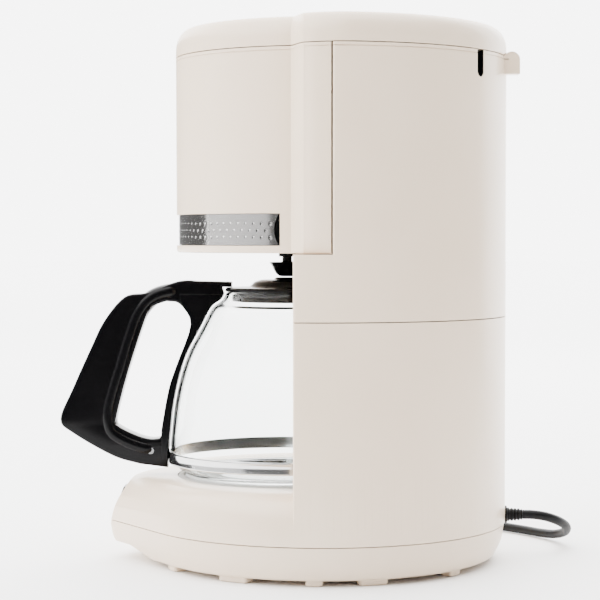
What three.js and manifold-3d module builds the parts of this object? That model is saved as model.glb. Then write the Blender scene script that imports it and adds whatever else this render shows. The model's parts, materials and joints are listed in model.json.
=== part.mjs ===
// Drip coffee maker: swing-out filter holder over a glass jug on a hot plate, with the water tank behind.
// Millimetres, +Z up. The jug stands on the origin's vertical axis and the front faces -Y.
import * as THREE from "three";
import { mergeVertices } from "three/addons/utils/BufferGeometryUtils.js";
import Module from "manifold-3d";

const wasm = await Module();
wasm.setup();

// ---- driving dimensions: plan
const BODY_Y = 21.5; // axis of the round body, behind the jug's axis
const BODY_R = 114; // base, column, tank and rear of the lid
const FRONT_R = 90.4; // filter holder and front of the lid, about the body axis
const COLUMN_FRONT_Y = 4; // front edges of the column below the filter holder
const SPLIT_Y = 26; // where the filter holder meets the tank
const SPLIT_GAP = 1.4;
const WALL = 3; // moulded housing walls
const SEAM = 0.6; // gap at the seams between housings
const FIT = 0.3; // gap between pieces that touch

// ---- driving dimensions: heights
const FOOT_H = 3.3;
const TRAY_H = 20.3; // tray, above its feet
const BASE_H = 27.9; // base, above the tray
const JUG_H = 113; // glass, foot to rim
const JUG_LID_H = 9.2; // jug lid above the glass rim
const VALVE_DROP = 15; // drip valve under the filter holder
const VALVE_CLEAR = 0.5; // drip valve over the jug lid
const HOLDER_H = 119.2;
const TANK_SHELF = 39; // tank below the filter holder
const LID_H = 17.7;
const LID_ROUND = 13; // height of the rounding round the lid's edge
const LID_ROUND_IN = 9; // its width
const NOSE_ANGLE = 32.5; // degrees from the front where the nose's sides leave the base's circle
const NOSE_TIP_R = 12;
const BASE_ROUND = 11.5; // rounding of the base's top edge
const BASE_ROUND_H = 18.5; // its height

// ---- driving dimensions: jug, hot plate, filter
const JUG_R = 72.6; // widest part of the glass
const JUG_RIM_R = 38.3;
const JUG_FOOT_R = 60;
const GLASS = 2.2;
const RECESS_CLEAR = 7.4; // column's hollow face, round the jug
const HANDLE_W = 18;
const HANDLE_TIP = 68.4; // handle's reach beyond the glass
const BAND_H = 7.5; // steel band round the jug
const BAND_THICK = 0.9;
const PLATE_R = 64;
const PLATE_OVER = 0.5; // hot plate above the base
const SEAL_W = 4.4;
const CUP_R = 63.2; // filter cup inside the holder
const BASKET_WALL = 2;
const SPIGOT_R = 5.2;
const STEM_R = 3;
const VALVE_R = 11;
const VALVE_TRAVEL = 3;
const TRIM_Z = 4.3; // steel trim above the holder's bottom
const TRIM_H = 18.8;
const TRIM_THICK = 1;
const TRIM_HALF_ANGLE = 72; // degrees to each side of the front

// ---- driving dimensions: hinges, water path, cord
const LID_HINGE_R = 5;
const LID_HINGE_UP = 2.7; // lid hinge axis below the lid's seam
const LID_KNUCKLE_W = 40;
const LID_EAR_W = 11;
const LID_EAR_DROP = 8.5; // ears below the lid hinge's axis
const LID_PIN_R = 1.8;
const HOLDER_KNUCKLE_R = 7.4;
const HOLDER_PIN_R = 2.5;
const TUBE_R = 5; // riser, spray arm and hoses
const TUBE_BORE = 3.2;
const RISER_BEHIND = 15; // riser tube behind the wall of the jug's hollow
const OUTLET_X = -26; // tank outlet
const OUTLET_BEHIND = 18;
const HEATER_R = 45; // centreline of the heater's bend
const HEATER_TUBE_R = 6;
const HEATER_END = [34, 58]; // the heater's ends, to each side and behind the jug's axis
const HEATER_DROP = 10; // its ends dip under the hot plate's rim
const SPRAY_R = 22;
const CORD_R = 2.9;
const CORD_Z = 26;
const RELIEF_OUT = 11.5; // strain relief behind the housing
const COIL_AT = [-172, 24];
const COIL_R = 32; // middle of the turns
const COIL_W = 11.6; // two turns wide
const COIL_H = 11.6; // two turns high
const PLUG_AT = [-186, 92]; // tail end of the plug
const PLUG_Z = 9.3;

// ---- levels worked out from those
const TRAY_SEAM = FOOT_H + TRAY_H;
const BASE_TOP = TRAY_SEAM + BASE_H;
const PLATE_TOP = BASE_TOP + PLATE_OVER;
const JUG_Z = PLATE_TOP + FIT;
const JUG_RIM = JUG_Z + JUG_H;
const VALVE_Z = JUG_RIM + JUG_LID_H + VALVE_CLEAR;
const HOLDER_Z = VALVE_Z + VALVE_DROP;
const TANK_Z = HOLDER_Z - TANK_SHELF;
const LID_Z = HOLDER_Z + HOLDER_H;
const LID_TOP = LID_Z + LID_H;
const RECESS_R = JUG_R + RECESS_CLEAR;
const RISER_Y = RECESS_R + RISER_BEHIND;
const OUTLET = [OUTLET_X, RECESS_R + OUTLET_BEHIND];
const REAR_Y = BODY_Y + BODY_R;
const RELIEF_END_Y = REAR_Y + RELIEF_OUT;
const BASE_FRONT_Y = BODY_Y - BODY_R;
const LID_HINGE = [REAR_Y + 0.5, LID_Z - LID_HINGE_UP]; // y, z
const HOLDER_PIVOT = [-(BODY_R - HOLDER_KNUCKLE_R), SPLIT_Y - HOLDER_KNUCKLE_R]; // x, y
const ARM_Z = LID_Z - 12; // centre of the spray arm
const CUP_RIM = ARM_Z - 13;
const HOLDER_FLOOR = HOLDER_Z + WALL;
const BASKET_FLOOR = HOLDER_FLOOR + 2.5;
const VALVE_SEAT = BASKET_FLOOR + BASKET_WALL; // top of the basket's floor
const HEATER_Z = PLATE_TOP - 1.5 - FIT - HEATER_TUBE_R;

// ---- materials
function plastic(color, roughness = 0.4) {
  return new THREE.MeshStandardMaterial({ color, roughness, metalness: 0 });
}

function metal(color, roughness = 0.3) {
  return new THREE.MeshStandardMaterial({ color, roughness, metalness: 1 });
}

const CREAM = plastic(0xe4dcd2);
const BLACK = plastic(0x1c1c1c, 0.35);
const GREY = plastic(0x8b8b88, 0.6);
const SILICONE = plastic(0xd8d4cc, 0.8);
const RUBBER = plastic(0x2a2a2a, 0.85);
const STEEL = metal(0xc8c6c4);
const ALUMINIUM = metal(0xb4b4b2, 0.5);
const BRASS = metal(0xc9a45a);
const CLEAR = new THREE.MeshStandardMaterial({ color: 0xe8f0f0, roughness: 0.05, transparent: true, opacity: 0.35 });

// ---- solids
function solid(geometry) {
  const bare = geometry.index ? geometry.toNonIndexed() : geometry.clone();
  bare.deleteAttribute("normal");
  bare.deleteAttribute("uv");
  const merged = mergeVertices(bare, 1e-4);
  return new wasm.Manifold(
    new wasm.Mesh({
      numProp: 3,
      vertProperties: merged.attributes.position.array,
      triVerts: new Uint32Array(merged.index.array),
    }),
  );
}

function geometryOf(made) {
  const data = made.getMesh();
  const geometry = new THREE.BufferGeometry();
  geometry.setAttribute("position", new THREE.BufferAttribute(data.vertProperties, 3));
  geometry.setIndex(new THREE.BufferAttribute(data.triVerts, 1));
  geometry.computeVertexNormals();
  return geometry;
}

const coffeeMaker = new THREE.Group();

function add(name, made, material) {
  const mesh = new THREE.Mesh(geometryOf(made), material);
  mesh.name = name;
  coffeeMaker.add(mesh);
}

// A round bar or disc from z0 to z1 about a vertical line.
function drum(radius, z0, z1, at = [0, 0], sides = 24) {
  const geometry = new THREE.CylinderGeometry(radius, radius, z1 - z0, sides);
  geometry.rotateX(Math.PI / 2);
  geometry.translate(at[0], at[1], (z0 + z1) / 2);
  return solid(geometry);
}

// A round bar along X (axis "x") or Y (axis "y"), from low to high.
function bar(axis, radius, low, high, across, z, sides = 16) {
  const geometry = new THREE.CylinderGeometry(radius, radius, high - low, sides);
  if (axis === "x") geometry.rotateZ(Math.PI / 2);
  const middle = (low + high) / 2;
  geometry.translate(axis === "x" ? middle : across, axis === "x" ? across : middle, z);
  return solid(geometry);
}

function block(x0, x1, y0, y1, z0, z1) {
  const geometry = new THREE.BoxGeometry(x1 - x0, y1 - y0, z1 - z0);
  geometry.translate((x0 + x1) / 2, (y0 + y1) / 2, (z0 + z1) / 2);
  return solid(geometry);
}

// A turned piece: the profile is [radius, z] points, up the outside and back down the inside.
function turned(profile, at = [0, 0], sides = 28) {
  const points = profile.map(([radius, z]) => new THREE.Vector2(radius, z));
  const geometry = new THREE.LatheGeometry(points, sides);
  geometry.rotateX(Math.PI / 2);
  geometry.translate(at[0], at[1], 0);
  return solid(geometry);
}

function slab(shape, z0, z1, curveSegments = 10) {
  const geometry = new THREE.ExtrudeGeometry(shape, { depth: z1 - z0, bevelEnabled: false, curveSegments });
  geometry.translate(0, 0, z0);
  return solid(geometry);
}

function circle(radius) {
  return new THREE.Shape().absarc(0, 0, radius, 0, 2 * Math.PI, false);
}

// A tube along points, with a bore when one is given.
function tube(points, radius, steps, bore = 0, sides = 8) {
  const section = circle(radius);
  if (bore) section.holes.push(new THREE.Path().absarc(0, 0, bore, 0, 2 * Math.PI, true));
  const path = new THREE.CatmullRomCurve3(points.map((p) => new THREE.Vector3(...p)));
  return solid(
    new THREE.ExtrudeGeometry(section, { extrudePath: path, steps, curveSegments: sides / 2 }),
  );
}

// A flat outline in the YZ plane, width wide about X = 0, with its edges rounded.
function upright(shape, width, round = 0, curveSegments = 4) {
  const geometry = new THREE.ExtrudeGeometry(shape, {
    depth: width - 2 * round,
    bevelEnabled: round > 0,
    bevelThickness: round,
    bevelSize: round,
    bevelOffset: -round,
    bevelSegments: 1,
    curveSegments,
  });
  geometry.translate(0, 0, round - width / 2);
  geometry.rotateX(Math.PI / 2);
  geometry.rotateZ(Math.PI / 2);
  return solid(geometry);
}

const joined = (...solids) => solids.reduce((sum, next) => sum.add(next));
const BIG = 400;
const ROUND_SIDES = 40; // facets round the body

// ---- the plan outline that the lid and the filter holder share
// Where the front circle flares out to the body: degrees from the front, and share of the step.
const FLARE = [
  [78, 0],
  [83, 0.62],
  [84.5, 0.72],
  [87.6, 0.83],
  [92.6, 0.93],
  [97, 1],
];

function polar(radius, degrees) {
  const angle = THREE.MathUtils.degToRad(degrees);
  return [radius * Math.sin(angle), BODY_Y - radius * Math.cos(angle)];
}

function keyhole(inset = 0) {
  const front = FRONT_R - inset;
  const rear = BODY_R - inset;
  const start = THREE.MathUtils.degToRad(FLARE[0][0] - 90);
  const end = THREE.MathUtils.degToRad(FLARE.at(-1)[0] - 90);
  const flare = FLARE.slice(1, -1).map(([degrees, share]) => polar(front + share * (rear - front), degrees));
  const shape = new THREE.Shape();
  shape.absarc(0, BODY_Y, front, -Math.PI - start, start, false);
  flare.forEach(([x, y]) => shape.lineTo(x, y));
  shape.absarc(0, BODY_Y, rear, end, Math.PI - end, false);
  flare.reverse().forEach(([x, y]) => shape.lineTo(-x, y));
  return shape;
}

function body(inset, z0, z1) {
  return drum(BODY_R - inset, z0, z1, [0, BODY_Y], ROUND_SIDES);
}

// Body circle behind y, round the jug's hollow.
function column(inset, y, z0, z1) {
  const front = block(-BIG, BIG, -BIG, y + inset, z0 - 1, z1 + 1);
  return body(inset, z0, z1).subtract(joined(front, drum(RECESS_R + inset, z0 - 1, z1 + 1, [0, 0], 32)));
}

// ---- base
// The base's plan: the body's circle, drawn out in front to a rounded tip.
function teardrop(inset = 0) {
  const radius = BODY_R - inset;
  const step = 360 / ROUND_SIDES;
  const middle = BODY_Y - (radius - NOSE_TIP_R) / Math.cos(THREE.MathUtils.degToRad(NOSE_ANGLE));
  const points = [polar(radius, NOSE_ANGLE)];
  for (let k = Math.ceil(NOSE_ANGLE / step); k * step < 360 - NOSE_ANGLE; k++) points.push(polar(radius, k * step));
  points.push(polar(radius, -NOSE_ANGLE));
  for (let share = -1; share <= 1; share += 0.5) {
    const angle = THREE.MathUtils.degToRad(NOSE_ANGLE * share);
    points.push([NOSE_TIP_R * Math.sin(angle), middle - NOSE_TIP_R * Math.cos(angle)]);
  }
  return new THREE.Shape(points.map(([x, y]) => new THREE.Vector2(x, y)));
}

// The base's front from the side: distance out from the circle, and height below the base's top.
const NOSE = [
  [-6, 0],
  [3.8, -2.6],
  [10.2, -10.7],
  [14.5, -19.2],
  [17.1, -28.2],
  [19, -41.2],
];
const NOSE_BOTTOM = BASE_TOP + NOSE.at(-1)[1];
const NOSE_FLAT = 15; // the nose's level underside, behind its tip
const NOSE_DROP = 32; // behind the tip, where the underside has come down to the tray's floor

function besideNose(inset) {
  const shape = new THREE.Shape();
  shape.moveTo(BIG, BASE_TOP - inset);
  NOSE.forEach(([out, down]) =>
    shape.lineTo(BASE_FRONT_Y - out + inset, Math.max(BASE_TOP + down - inset, NOSE_BOTTOM + inset)),
  );
  const tip = BASE_FRONT_Y - NOSE.at(-1)[0] + inset;
  shape.lineTo(tip + NOSE_FLAT, NOSE_BOTTOM + inset);
  shape.lineTo(tip + NOSE_DROP, FOOT_H + inset);
  shape.lineTo(BIG, FOOT_H + inset);
  return upright(shape, 2 * BIG);
}

function baseForm(inset) {
  const straight = BASE_TOP;
  const geometry = new THREE.ExtrudeGeometry(teardrop(inset), {
    depth: straight,
    bevelThickness: BASE_ROUND_H - inset,
    bevelSize: BASE_ROUND,
    bevelOffset: -BASE_ROUND,
    bevelSegments: 3,
  });
  geometry.translate(0, 0, BASE_TOP - BASE_ROUND_H - straight);
  return solid(geometry).intersect(besideNose(inset));
}

// The tray's side: distance inside the base's plan, and height above the feet.
const TRAY_SIDE = [
  [7, 0],
  [4, 5.7],
  [2, 10.7],
  [0.5, TRAY_H],
];

// The plan is convex, so the tray's form is the hull of its levels.
function trayForm(inset) {
  const levels = TRAY_SIDE.map(([less, up]) => slab(teardrop(less + inset), FOOT_H + up, FOOT_H + up + 0.5));
  return wasm.Manifold.hull(levels).intersect(besideNose(inset));
}

const FEET = [
  [31, 10],
  [60, 19],
  [87, 10],
  [106, 17],
  [138, 10],
]; // degrees from the front, and length along the rim

function foot(degrees, length) {
  const geometry = new THREE.BoxGeometry(length, 9, FOOT_H + 1);
  geometry.rotateZ(THREE.MathUtils.degToRad(degrees));
  const [x, y] = polar(BODY_R - 13, degrees);
  geometry.translate(x, y, (FOOT_H + 1) / 2);
  return solid(geometry);
}

const TRAY_SCREWS = [
  [-62, -40],
  [62, -40],
  [-52, 54],
  [52, 54],
];
const SCREW_R = 2;
const SCREW_HEAD_R = 4;
const BOSS_R = 5;

function baseTray() {
  const top = TRAY_SEAM - SEAM / 2;
  const above = block(-BIG, BIG, -BIG, BIG, top, BIG);
  const floor = block(-BIG, BIG, -BIG, BIG, 0, FOOT_H + WALL);
  const dish = trayForm(0).subtract(joined(trayForm(WALL).subtract(floor), above));
  const feet = FEET.flatMap(([degrees, length]) => [foot(degrees, length), foot(-degrees, length)]);
  const holes = TRAY_SCREWS.flatMap((at) => [
    drum(SCREW_R + FIT, 0, BIG, at, 10),
    drum(SCREW_HEAD_R + FIT, 0, FOOT_H + 1.5, at, 12),
  ]);
  return joined(dish, ...feet).subtract(joined(reliefHole(), ...holes));
}

const RELIEF_R = 4.2;

// Room for the strain relief, which the tray and the housing clamp between them.
function reliefHole() {
  const room = bar("y", RELIEF_R + 1 + FIT, REAR_Y - 4 * WALL, REAR_Y - WALL - FIT, 0, CORD_Z, 16);
  return room.add(bar("y", RELIEF_R + FIT, REAR_Y - 2 * WALL, REAR_Y + WALL, 0, CORD_Z, 16));
}

const SWITCH_AT = [BASE_FRONT_Y - 10.6, BASE_TOP - 13.5]; // y, z of the rocker's middle
const SWITCH_TILT = 63; // degrees from lying flat to facing forward
const SWITCH_W = 16;
const SWITCH_L = 13;
const ROCKER_OFF = 5; // degrees that the rocker leans in its off position

// A block that lies on the nose's front slope, low and high along its outward normal.
function onSlope(width, length, low, high) {
  const geometry = new THREE.BoxGeometry(width, length, high - low);
  geometry.translate(0, 0, (low + high) / 2);
  geometry.rotateX(THREE.MathUtils.degToRad(SWITCH_TILT));
  geometry.translate(0, SWITCH_AT[0], SWITCH_AT[1]);
  return solid(geometry);
}

function rocker() {
  const [y, z] = SWITCH_AT;
  const level = onSlope(SWITCH_W, SWITCH_L, -3, 1);
  return level.translate([0, -y, -z]).rotate([ROCKER_OFF, 0, 0]).translate([0, y, z]);
}

function lowerHousing() {
  const bottom = TRAY_SEAM + SEAM / 2;
  const top = TANK_Z - SEAM / 2;
  const below = block(-BIG, BIG, -BIG, BIG, 0, bottom);
  const outer = joined(baseForm(0), column(0, COLUMN_FRONT_Y, bottom, top)).subtract(below);
  const inner = joined(baseForm(WALL), column(WALL, COLUMN_FRONT_Y, bottom - 1, top - WALL));
  const bosses = TRAY_SCREWS.map((at) => drum(BOSS_R, FOOT_H + WALL + FIT, BASE_TOP - 1, at, 12));
  const cuts = [
    drum(PLATE_R + SEAL_W, BASE_TOP - 2 * WALL, BASE_TOP + 1, [0, 0], 28),
    drum(TUBE_R + 2, top - 5, top + 1, OUTLET, 12),
    drum(TUBE_R + 2, top - 5, top + 1, [0, RISER_Y], 12),
    reliefHole(),
    onSlope(SWITCH_W + 2 * FIT, SWITCH_L + 2 * FIT, -8, 8),
    ...TRAY_SCREWS.map((at) => drum(SCREW_R + FIT, 0, TRAY_SEAM + 10, at, 10)),
  ];
  return joined(outer.subtract(inner), ...bosses).subtract(joined(...cuts));
}

function screw([x, y]) {
  const head = drum(SCREW_HEAD_R, FOOT_H, FOOT_H + 1.3, [x, y], 12);
  return head.add(drum(SCREW_R, FOOT_H + 1, TRAY_SEAM + 8, [x, y], 10));
}

// ---- heater under the hot plate
function hotPlate() {
  return turned([
    [0, PLATE_TOP - 1.5],
    [PLATE_R - 1.5, PLATE_TOP - 1.5],
    [PLATE_R - 1.5, PLATE_TOP - 6],
    [PLATE_R, PLATE_TOP - 6],
    [PLATE_R, PLATE_TOP - 1.2],
    [PLATE_R - 1.2, PLATE_TOP],
    [0, PLATE_TOP],
  ]);
}

function plateSeal() {
  const low = PLATE_R + FIT;
  const high = PLATE_R + SEAL_W - FIT;
  return turned([
    [low, BASE_TOP - 4],
    [high, BASE_TOP - 4],
    [high, BASE_TOP - 0.3],
    [low + 1.4, BASE_TOP + 0.4],
    [low, BASE_TOP + 0.2],
    [low, BASE_TOP - 4],
  ]);
}

// The heater runs from one rear end round the front to the other, open towards the rear.
function heaterPath() {
  const [x, y] = HEATER_END;
  const low = HEATER_Z - HEATER_DROP;
  const points = [
    [-x, y, low],
    [-x, y - 5, low],
  ];
  for (let degrees = 140; degrees <= 400; degrees += 20) {
    const angle = THREE.MathUtils.degToRad(degrees);
    points.push([HEATER_R * Math.cos(angle), HEATER_R * Math.sin(angle), HEATER_Z]);
  }
  points.push([x, y - 5, low], [x, y, low]);
  return points;
}

const CLAMP_Z = HEATER_Z - HEATER_TUBE_R - FIT;
const THERMOSTAT_R = 8;

function thermalFuse(x) {
  return bar("x", 2.4, x - 7, x + 7, 0, CLAMP_Z - 2 - FIT - 2.4, 10);
}

// ---- tank
function holderEar() {
  const ear = block(-BIG, HOLDER_PIVOT[0] + 6, HOLDER_PIVOT[1] - 6, SPLIT_Y + 4, LID_Z - 5.5, LID_Z - SEAM / 2);
  return ear.intersect(slab(keyhole(0.6), LID_Z - 8, LID_Z));
}

function lidEars() {
  const inner = LID_KNUCKLE_W / 2 + FIT;
  const ear = bar("x", LID_HINGE_R, inner, inner + LID_EAR_W, ...LID_HINGE);
  const [y, z] = LID_HINGE;
  const web = block(inner, inner + LID_EAR_W, REAR_Y - 12, y, z, LID_Z - SEAM / 2);
  const foot = block(inner, inner + LID_EAR_W, REAR_Y - 12, y + LID_HINGE_R, z - LID_EAR_DROP, z);
  const pair = joined(ear, web, foot);
  return pair.add(pair.mirror([1, 0, 0]));
}

const OVERFLOW_ANGLE = 36; // degrees from the rear
const OVERFLOW_W = 5.8;
const OVERFLOW_DEEP = 12.5;

function overflowSlot() {
  const reach = 2 * WALL + 4;
  const slot = block(-OVERFLOW_W / 2, OVERFLOW_W / 2, BODY_R - reach, BODY_R + 2, LID_Z - OVERFLOW_DEEP, LID_Z + 5);
  const end = bar("y", OVERFLOW_W / 2, BODY_R - reach, BODY_R + 2, 0, LID_Z - OVERFLOW_DEEP, 12);
  return slot.add(end).rotate([0, 0, -OVERFLOW_ANGLE]).translate([0, BODY_Y, 0]);
}

const WINDOW_ANGLE = 105; // degrees from the front, on the -X side
const WINDOW_W = 8;
const WINDOW_LOW = 20; // above the tank's floor
const WINDOW_HIGH = 26; // below the tank's rim

function levelWindow(clear) {
  const half = WINDOW_W / 2 - clear;
  const z0 = TANK_Z + WINDOW_LOW + clear;
  const z1 = LID_Z - WINDOW_HIGH - clear;
  const strip = block(-half, half, -(BODY_R - 0.4) - (clear ? 0 : 3), -(BODY_R - WALL - 1), z0, z1);
  return strip.rotate([0, 0, -WINDOW_ANGLE]).translate([0, BODY_Y, 0]);
}

function tankBody() {
  const bottom = TANK_Z + SEAM / 2;
  const shelf = HOLDER_Z - SEAM;
  const top = LID_Z - SEAM / 2;
  const rear = SPLIT_Y + SPLIT_GAP / 2;
  const outer = joined(
    column(0, COLUMN_FRONT_Y, bottom, shelf),
    column(0, rear, bottom, top),
    holderEar(),
    lidEars(),
    drum(TUBE_R, bottom - 8, bottom + 1, OUTLET, 12),
  );
  const pocket = column(WALL, COLUMN_FRONT_Y, bottom - 1, shelf - WALL).subtract(
    block(-BIG, BIG, rear, BIG, 0, BIG),
  );
  const water = column(WALL, rear, bottom + WALL, top + 1);
  const hinge = [HOLDER_PIVOT, 12];
  const cuts = [
    pocket,
    water,
    overflowSlot(),
    levelWindow(0),
    block(-TUBE_R - 3, TUBE_R + 3, RECESS_R - 6, RECESS_R + WALL + 6, ARM_Z - TUBE_R - 3, BIG),
    drum(TUBE_R + FIT, bottom - 1, bottom + WALL + 1, [0, RISER_Y], 16),
    drum(TUBE_BORE, bottom - 9, bottom + WALL + 1, OUTLET, 12),
    bar("x", LID_HINGE_R + SEAM, -LID_KNUCKLE_W / 2 - FIT, LID_KNUCKLE_W / 2 + FIT, ...LID_HINGE),
    bar("x", LID_PIN_R + FIT, -BIG, BIG, ...LID_HINGE, 12),
    drum(HOLDER_PIN_R + FIT, shelf - 8, BIG, ...hinge),
  ];
  const pinBoss = drum(HOLDER_PIN_R + 3, shelf - 10, shelf, ...hinge).subtract(
    drum(HOLDER_PIN_R + FIT, shelf - 8, BIG, ...hinge),
  );
  return outer.subtract(joined(...cuts)).add(pinBoss);
}

const STRAINER_R = 8;

function tankStrainer() {
  const floor = TANK_Z + SEAM / 2 + WALL + FIT;
  const shell = turned(
    [
      [STRAINER_R - 1.2, floor],
      [STRAINER_R, floor],
      [STRAINER_R - 1, floor + 8],
      [0, floor + 9],
      [0, floor + 7.8],
      [STRAINER_R - 2.2, floor + 7],
      [STRAINER_R - 1.2, floor],
    ],
    OUTLET,
    16,
  );
  const slots = [0, 60, 120].map((turn) =>
    block(-BIG, BIG, -1, 1, floor + 1.5, floor + 6).rotate([0, 0, turn]).translate([...OUTLET, 0]),
  );
  return shell.subtract(joined(...slots));
}

// ---- water path
const CHECK_TOP = TANK_Z + SEAM / 2 - 8 - FIT;
const CHECK_LOW = CHECK_TOP - 20;
const RISER_LOW = TANK_Z - 12;
const RISER_TOP = ARM_Z - 8;

function checkValve() {
  return turned(
    [
      [TUBE_BORE, CHECK_LOW],
      [TUBE_R, CHECK_LOW],
      [TUBE_R, CHECK_LOW + 4],
      [TUBE_R + 2.8, CHECK_LOW + 5],
      [TUBE_R + 2.8, CHECK_TOP - 5],
      [TUBE_R, CHECK_TOP - 4],
      [TUBE_R, CHECK_TOP],
      [TUBE_BORE, CHECK_TOP],
      [TUBE_BORE, CHECK_LOW],
    ],
    OUTLET,
    16,
  );
}

function hosePoints(side, x, y, top) {
  const endX = side * HEATER_END[0];
  const endY = HEATER_END[1];
  const low = HEATER_Z - HEATER_DROP;
  return [
    [x, y, top],
    [x, y, top - 12],
    [x, y, HEATER_Z + 14],
    [x + (endX - x) * 0.15, y - 3, HEATER_Z],
    [x + (endX - x) * 0.6, y - 14, low + 2],
    [endX, endY + 9, low],
    [endX, endY + 3 * FIT, low],
  ];
}

function riser() {
  return turned(
    [
      [TUBE_BORE, RISER_LOW],
      [TUBE_R, RISER_LOW],
      [TUBE_R, RISER_TOP],
      [TUBE_BORE, RISER_TOP],
      [TUBE_BORE, RISER_LOW],
    ],
    [0, RISER_Y],
    16,
  );
}

function sprayArm() {
  const points = [
    [0, RISER_Y, RISER_TOP + FIT],
    [0, RISER_Y, RISER_TOP + 3],
    [0, RISER_Y - 2.5, ARM_Z - 1.5],
    [0, RISER_Y - 8, ARM_Z],
    [0, (RISER_Y + SPRAY_R) / 2, ARM_Z],
    [0, SPRAY_R + FIT, ARM_Z],
  ];
  return tube(points, TUBE_R, 9, TUBE_BORE);
}

function sprayHead() {
  const low = ARM_Z - 7.5;
  const high = ARM_Z + 6;
  const shell = turned(
    [
      [0, low],
      [SPRAY_R, low],
      [SPRAY_R, high - 2],
      [SPRAY_R - 2, high],
      [0, high],
    ],
    [0, 0],
    28,
  );
  const room = drum(SPRAY_R - 2, low + 2, high - 2, [0, 0], 28);
  const inlet = bar("y", TUBE_BORE, SPRAY_R - 4, SPRAY_R + 2, 0, ARM_Z, 10);
  const holes = [0, 1, 2, 3, 4, 5].map((k) => {
    const angle = (k * Math.PI) / 3;
    return drum(1.8, low - 1, low + 3, [13 * Math.cos(angle), 13 * Math.sin(angle)], 8);
  });
  return shell.subtract(joined(room, inlet, ...holes));
}

// ---- filter holder
function trimShape(radius, thick, halfAngle) {
  const start = THREE.MathUtils.degToRad(-90 - halfAngle);
  const end = THREE.MathUtils.degToRad(-90 + halfAngle);
  const shape = new THREE.Shape();
  shape.absarc(0, BODY_Y, radius, start, end, false);
  shape.absarc(0, BODY_Y, radius - thick, end, start, true);
  return shape;
}

function frontOf(y, z0, z1) {
  return block(-BIG, BIG, -BIG, y, z0, z1);
}

function holderShell() {
  const top = LID_Z - SEAM / 2;
  const back = SPLIT_Y - SPLIT_GAP / 2;
  const knuckle = drum(HOLDER_KNUCKLE_R, HOLDER_Z, top, HOLDER_PIVOT, 20);
  const corner = block(-BIG, HOLDER_PIVOT[0], HOLDER_PIVOT[1], BIG, 0, BIG);
  const outline = slab(keyhole(), HOLDER_Z, top, 9).intersect(frontOf(back, 0, BIG)).subtract(corner);
  const cup = drum(CUP_R, HOLDER_Z, CUP_RIM, [0, 0], 32);
  const pockets = slab(keyhole(WALL), HOLDER_FLOOR, top + 1, 9)
    .intersect(frontOf(back - WALL, 0, BIG))
    .subtract(joined(drum(CUP_R, 0, CUP_RIM, [0, 0], 32), drum(HOLDER_KNUCKLE_R, 0, BIG, HOLDER_PIVOT, 20)));
  const behindCup = drum(CUP_R, CUP_RIM, BIG, [0, 0], 32);
  const groove = slab(
    trimShape(FRONT_R + 2, 2 + TRIM_THICK + FIT, TRIM_HALF_ANGLE + 1),
    HOLDER_Z + TRIM_Z,
    HOLDER_Z + TRIM_Z + TRIM_H,
    12,
  );
  const cuts = [
    pockets,
    behindCup,
    drum(CUP_R - WALL + 0.5, HOLDER_FLOOR, BIG, [0, 0], 32),
    groove,
    drum(SPIGOT_R + FIT, HOLDER_Z - 1, HOLDER_FLOOR + 1, [0, 0], 20),
    drum(HOLDER_PIN_R + FIT, HOLDER_Z - 1, HOLDER_Z + 9, HOLDER_PIVOT, 12),
    drum(HOLDER_PIN_R + FIT, LID_Z - 14, BIG, HOLDER_PIVOT, 12),
    drum(18, LID_Z - 6, BIG, HOLDER_PIVOT, 20),
  ];
  return joined(outline, knuckle, cup).subtract(joined(...cuts));
}

function steelTrim() {
  const z0 = HOLDER_Z + TRIM_Z + FIT;
  return slab(trimShape(FRONT_R, TRIM_THICK, TRIM_HALF_ANGLE), z0, z0 + TRIM_H - 2 * FIT, 12);
}

function holderPin(z0, z1) {
  return drum(HOLDER_PIN_R, z0, z1, HOLDER_PIVOT, 12);
}

function filterBasket() {
  const rim = CUP_R - WALL + 0.5 - FIT;
  const low = VALVE_Z + VALVE_DROP - 2.6;
  const bore = STEM_R + 1;
  const outside = [
    [SPIGOT_R, low],
    [SPIGOT_R, BASKET_FLOOR],
    [30, BASKET_FLOOR],
    [rim - 3, CUP_RIM - 30],
    [rim - 1, CUP_RIM + FIT],
    [CUP_R - 0.5, CUP_RIM + FIT],
    [CUP_R - 0.5, CUP_RIM + 2.2],
  ];
  const inside = [
    [rim - 1 - BASKET_WALL, CUP_RIM + 2.2],
    [rim - 3 - BASKET_WALL, CUP_RIM - 30],
    [30 - BASKET_WALL, VALVE_SEAT],
    [bore, VALVE_SEAT],
    [bore, low],
  ];
  return turned([[bore, low], ...outside, ...inside], [0, 0], 24);
}

// ---- drip stop
const SEAL_Z = VALVE_SEAT + FIT;
const HEAD_Z = SEAL_Z + 1.5 + FIT;
const SPRING_LOW = HEAD_Z + 2 + FIT;
const SPRING_L = 9.6;
const CAGE_ROOF = SPRING_LOW + SPRING_L + FIT;
const CAGE_R = 10.5;

function dripValve() {
  const bowl = [0, 15, 30, 45, 60, 75].map((degrees) => {
    const angle = THREE.MathUtils.degToRad(degrees);
    return [VALVE_R * Math.sin(angle), VALVE_Z + (VALVE_DROP - 6) * (1 - Math.cos(angle))];
  });
  return turned(
    [
      ...bowl,
      [VALVE_R, VALVE_Z + VALVE_DROP - 6],
      [STEM_R, VALVE_Z + VALVE_DROP - 6],
      [STEM_R, HEAD_Z],
      [7.5, HEAD_Z],
      [7.5, HEAD_Z + 2],
      [2, HEAD_Z + 2],
      [2, CAGE_ROOF - 0.5],
      [0, CAGE_ROOF],
    ],
    [0, 0],
    24,
  );
}

function valveSeal() {
  return turned(
    [
      [STEM_R + FIT, SEAL_Z],
      [7.5, SEAL_Z],
      [7.5, SEAL_Z + 1.5],
      [STEM_R + FIT, SEAL_Z + 1.5],
      [STEM_R + FIT, SEAL_Z],
    ],
    [0, 0],
    20,
  );
}

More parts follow.
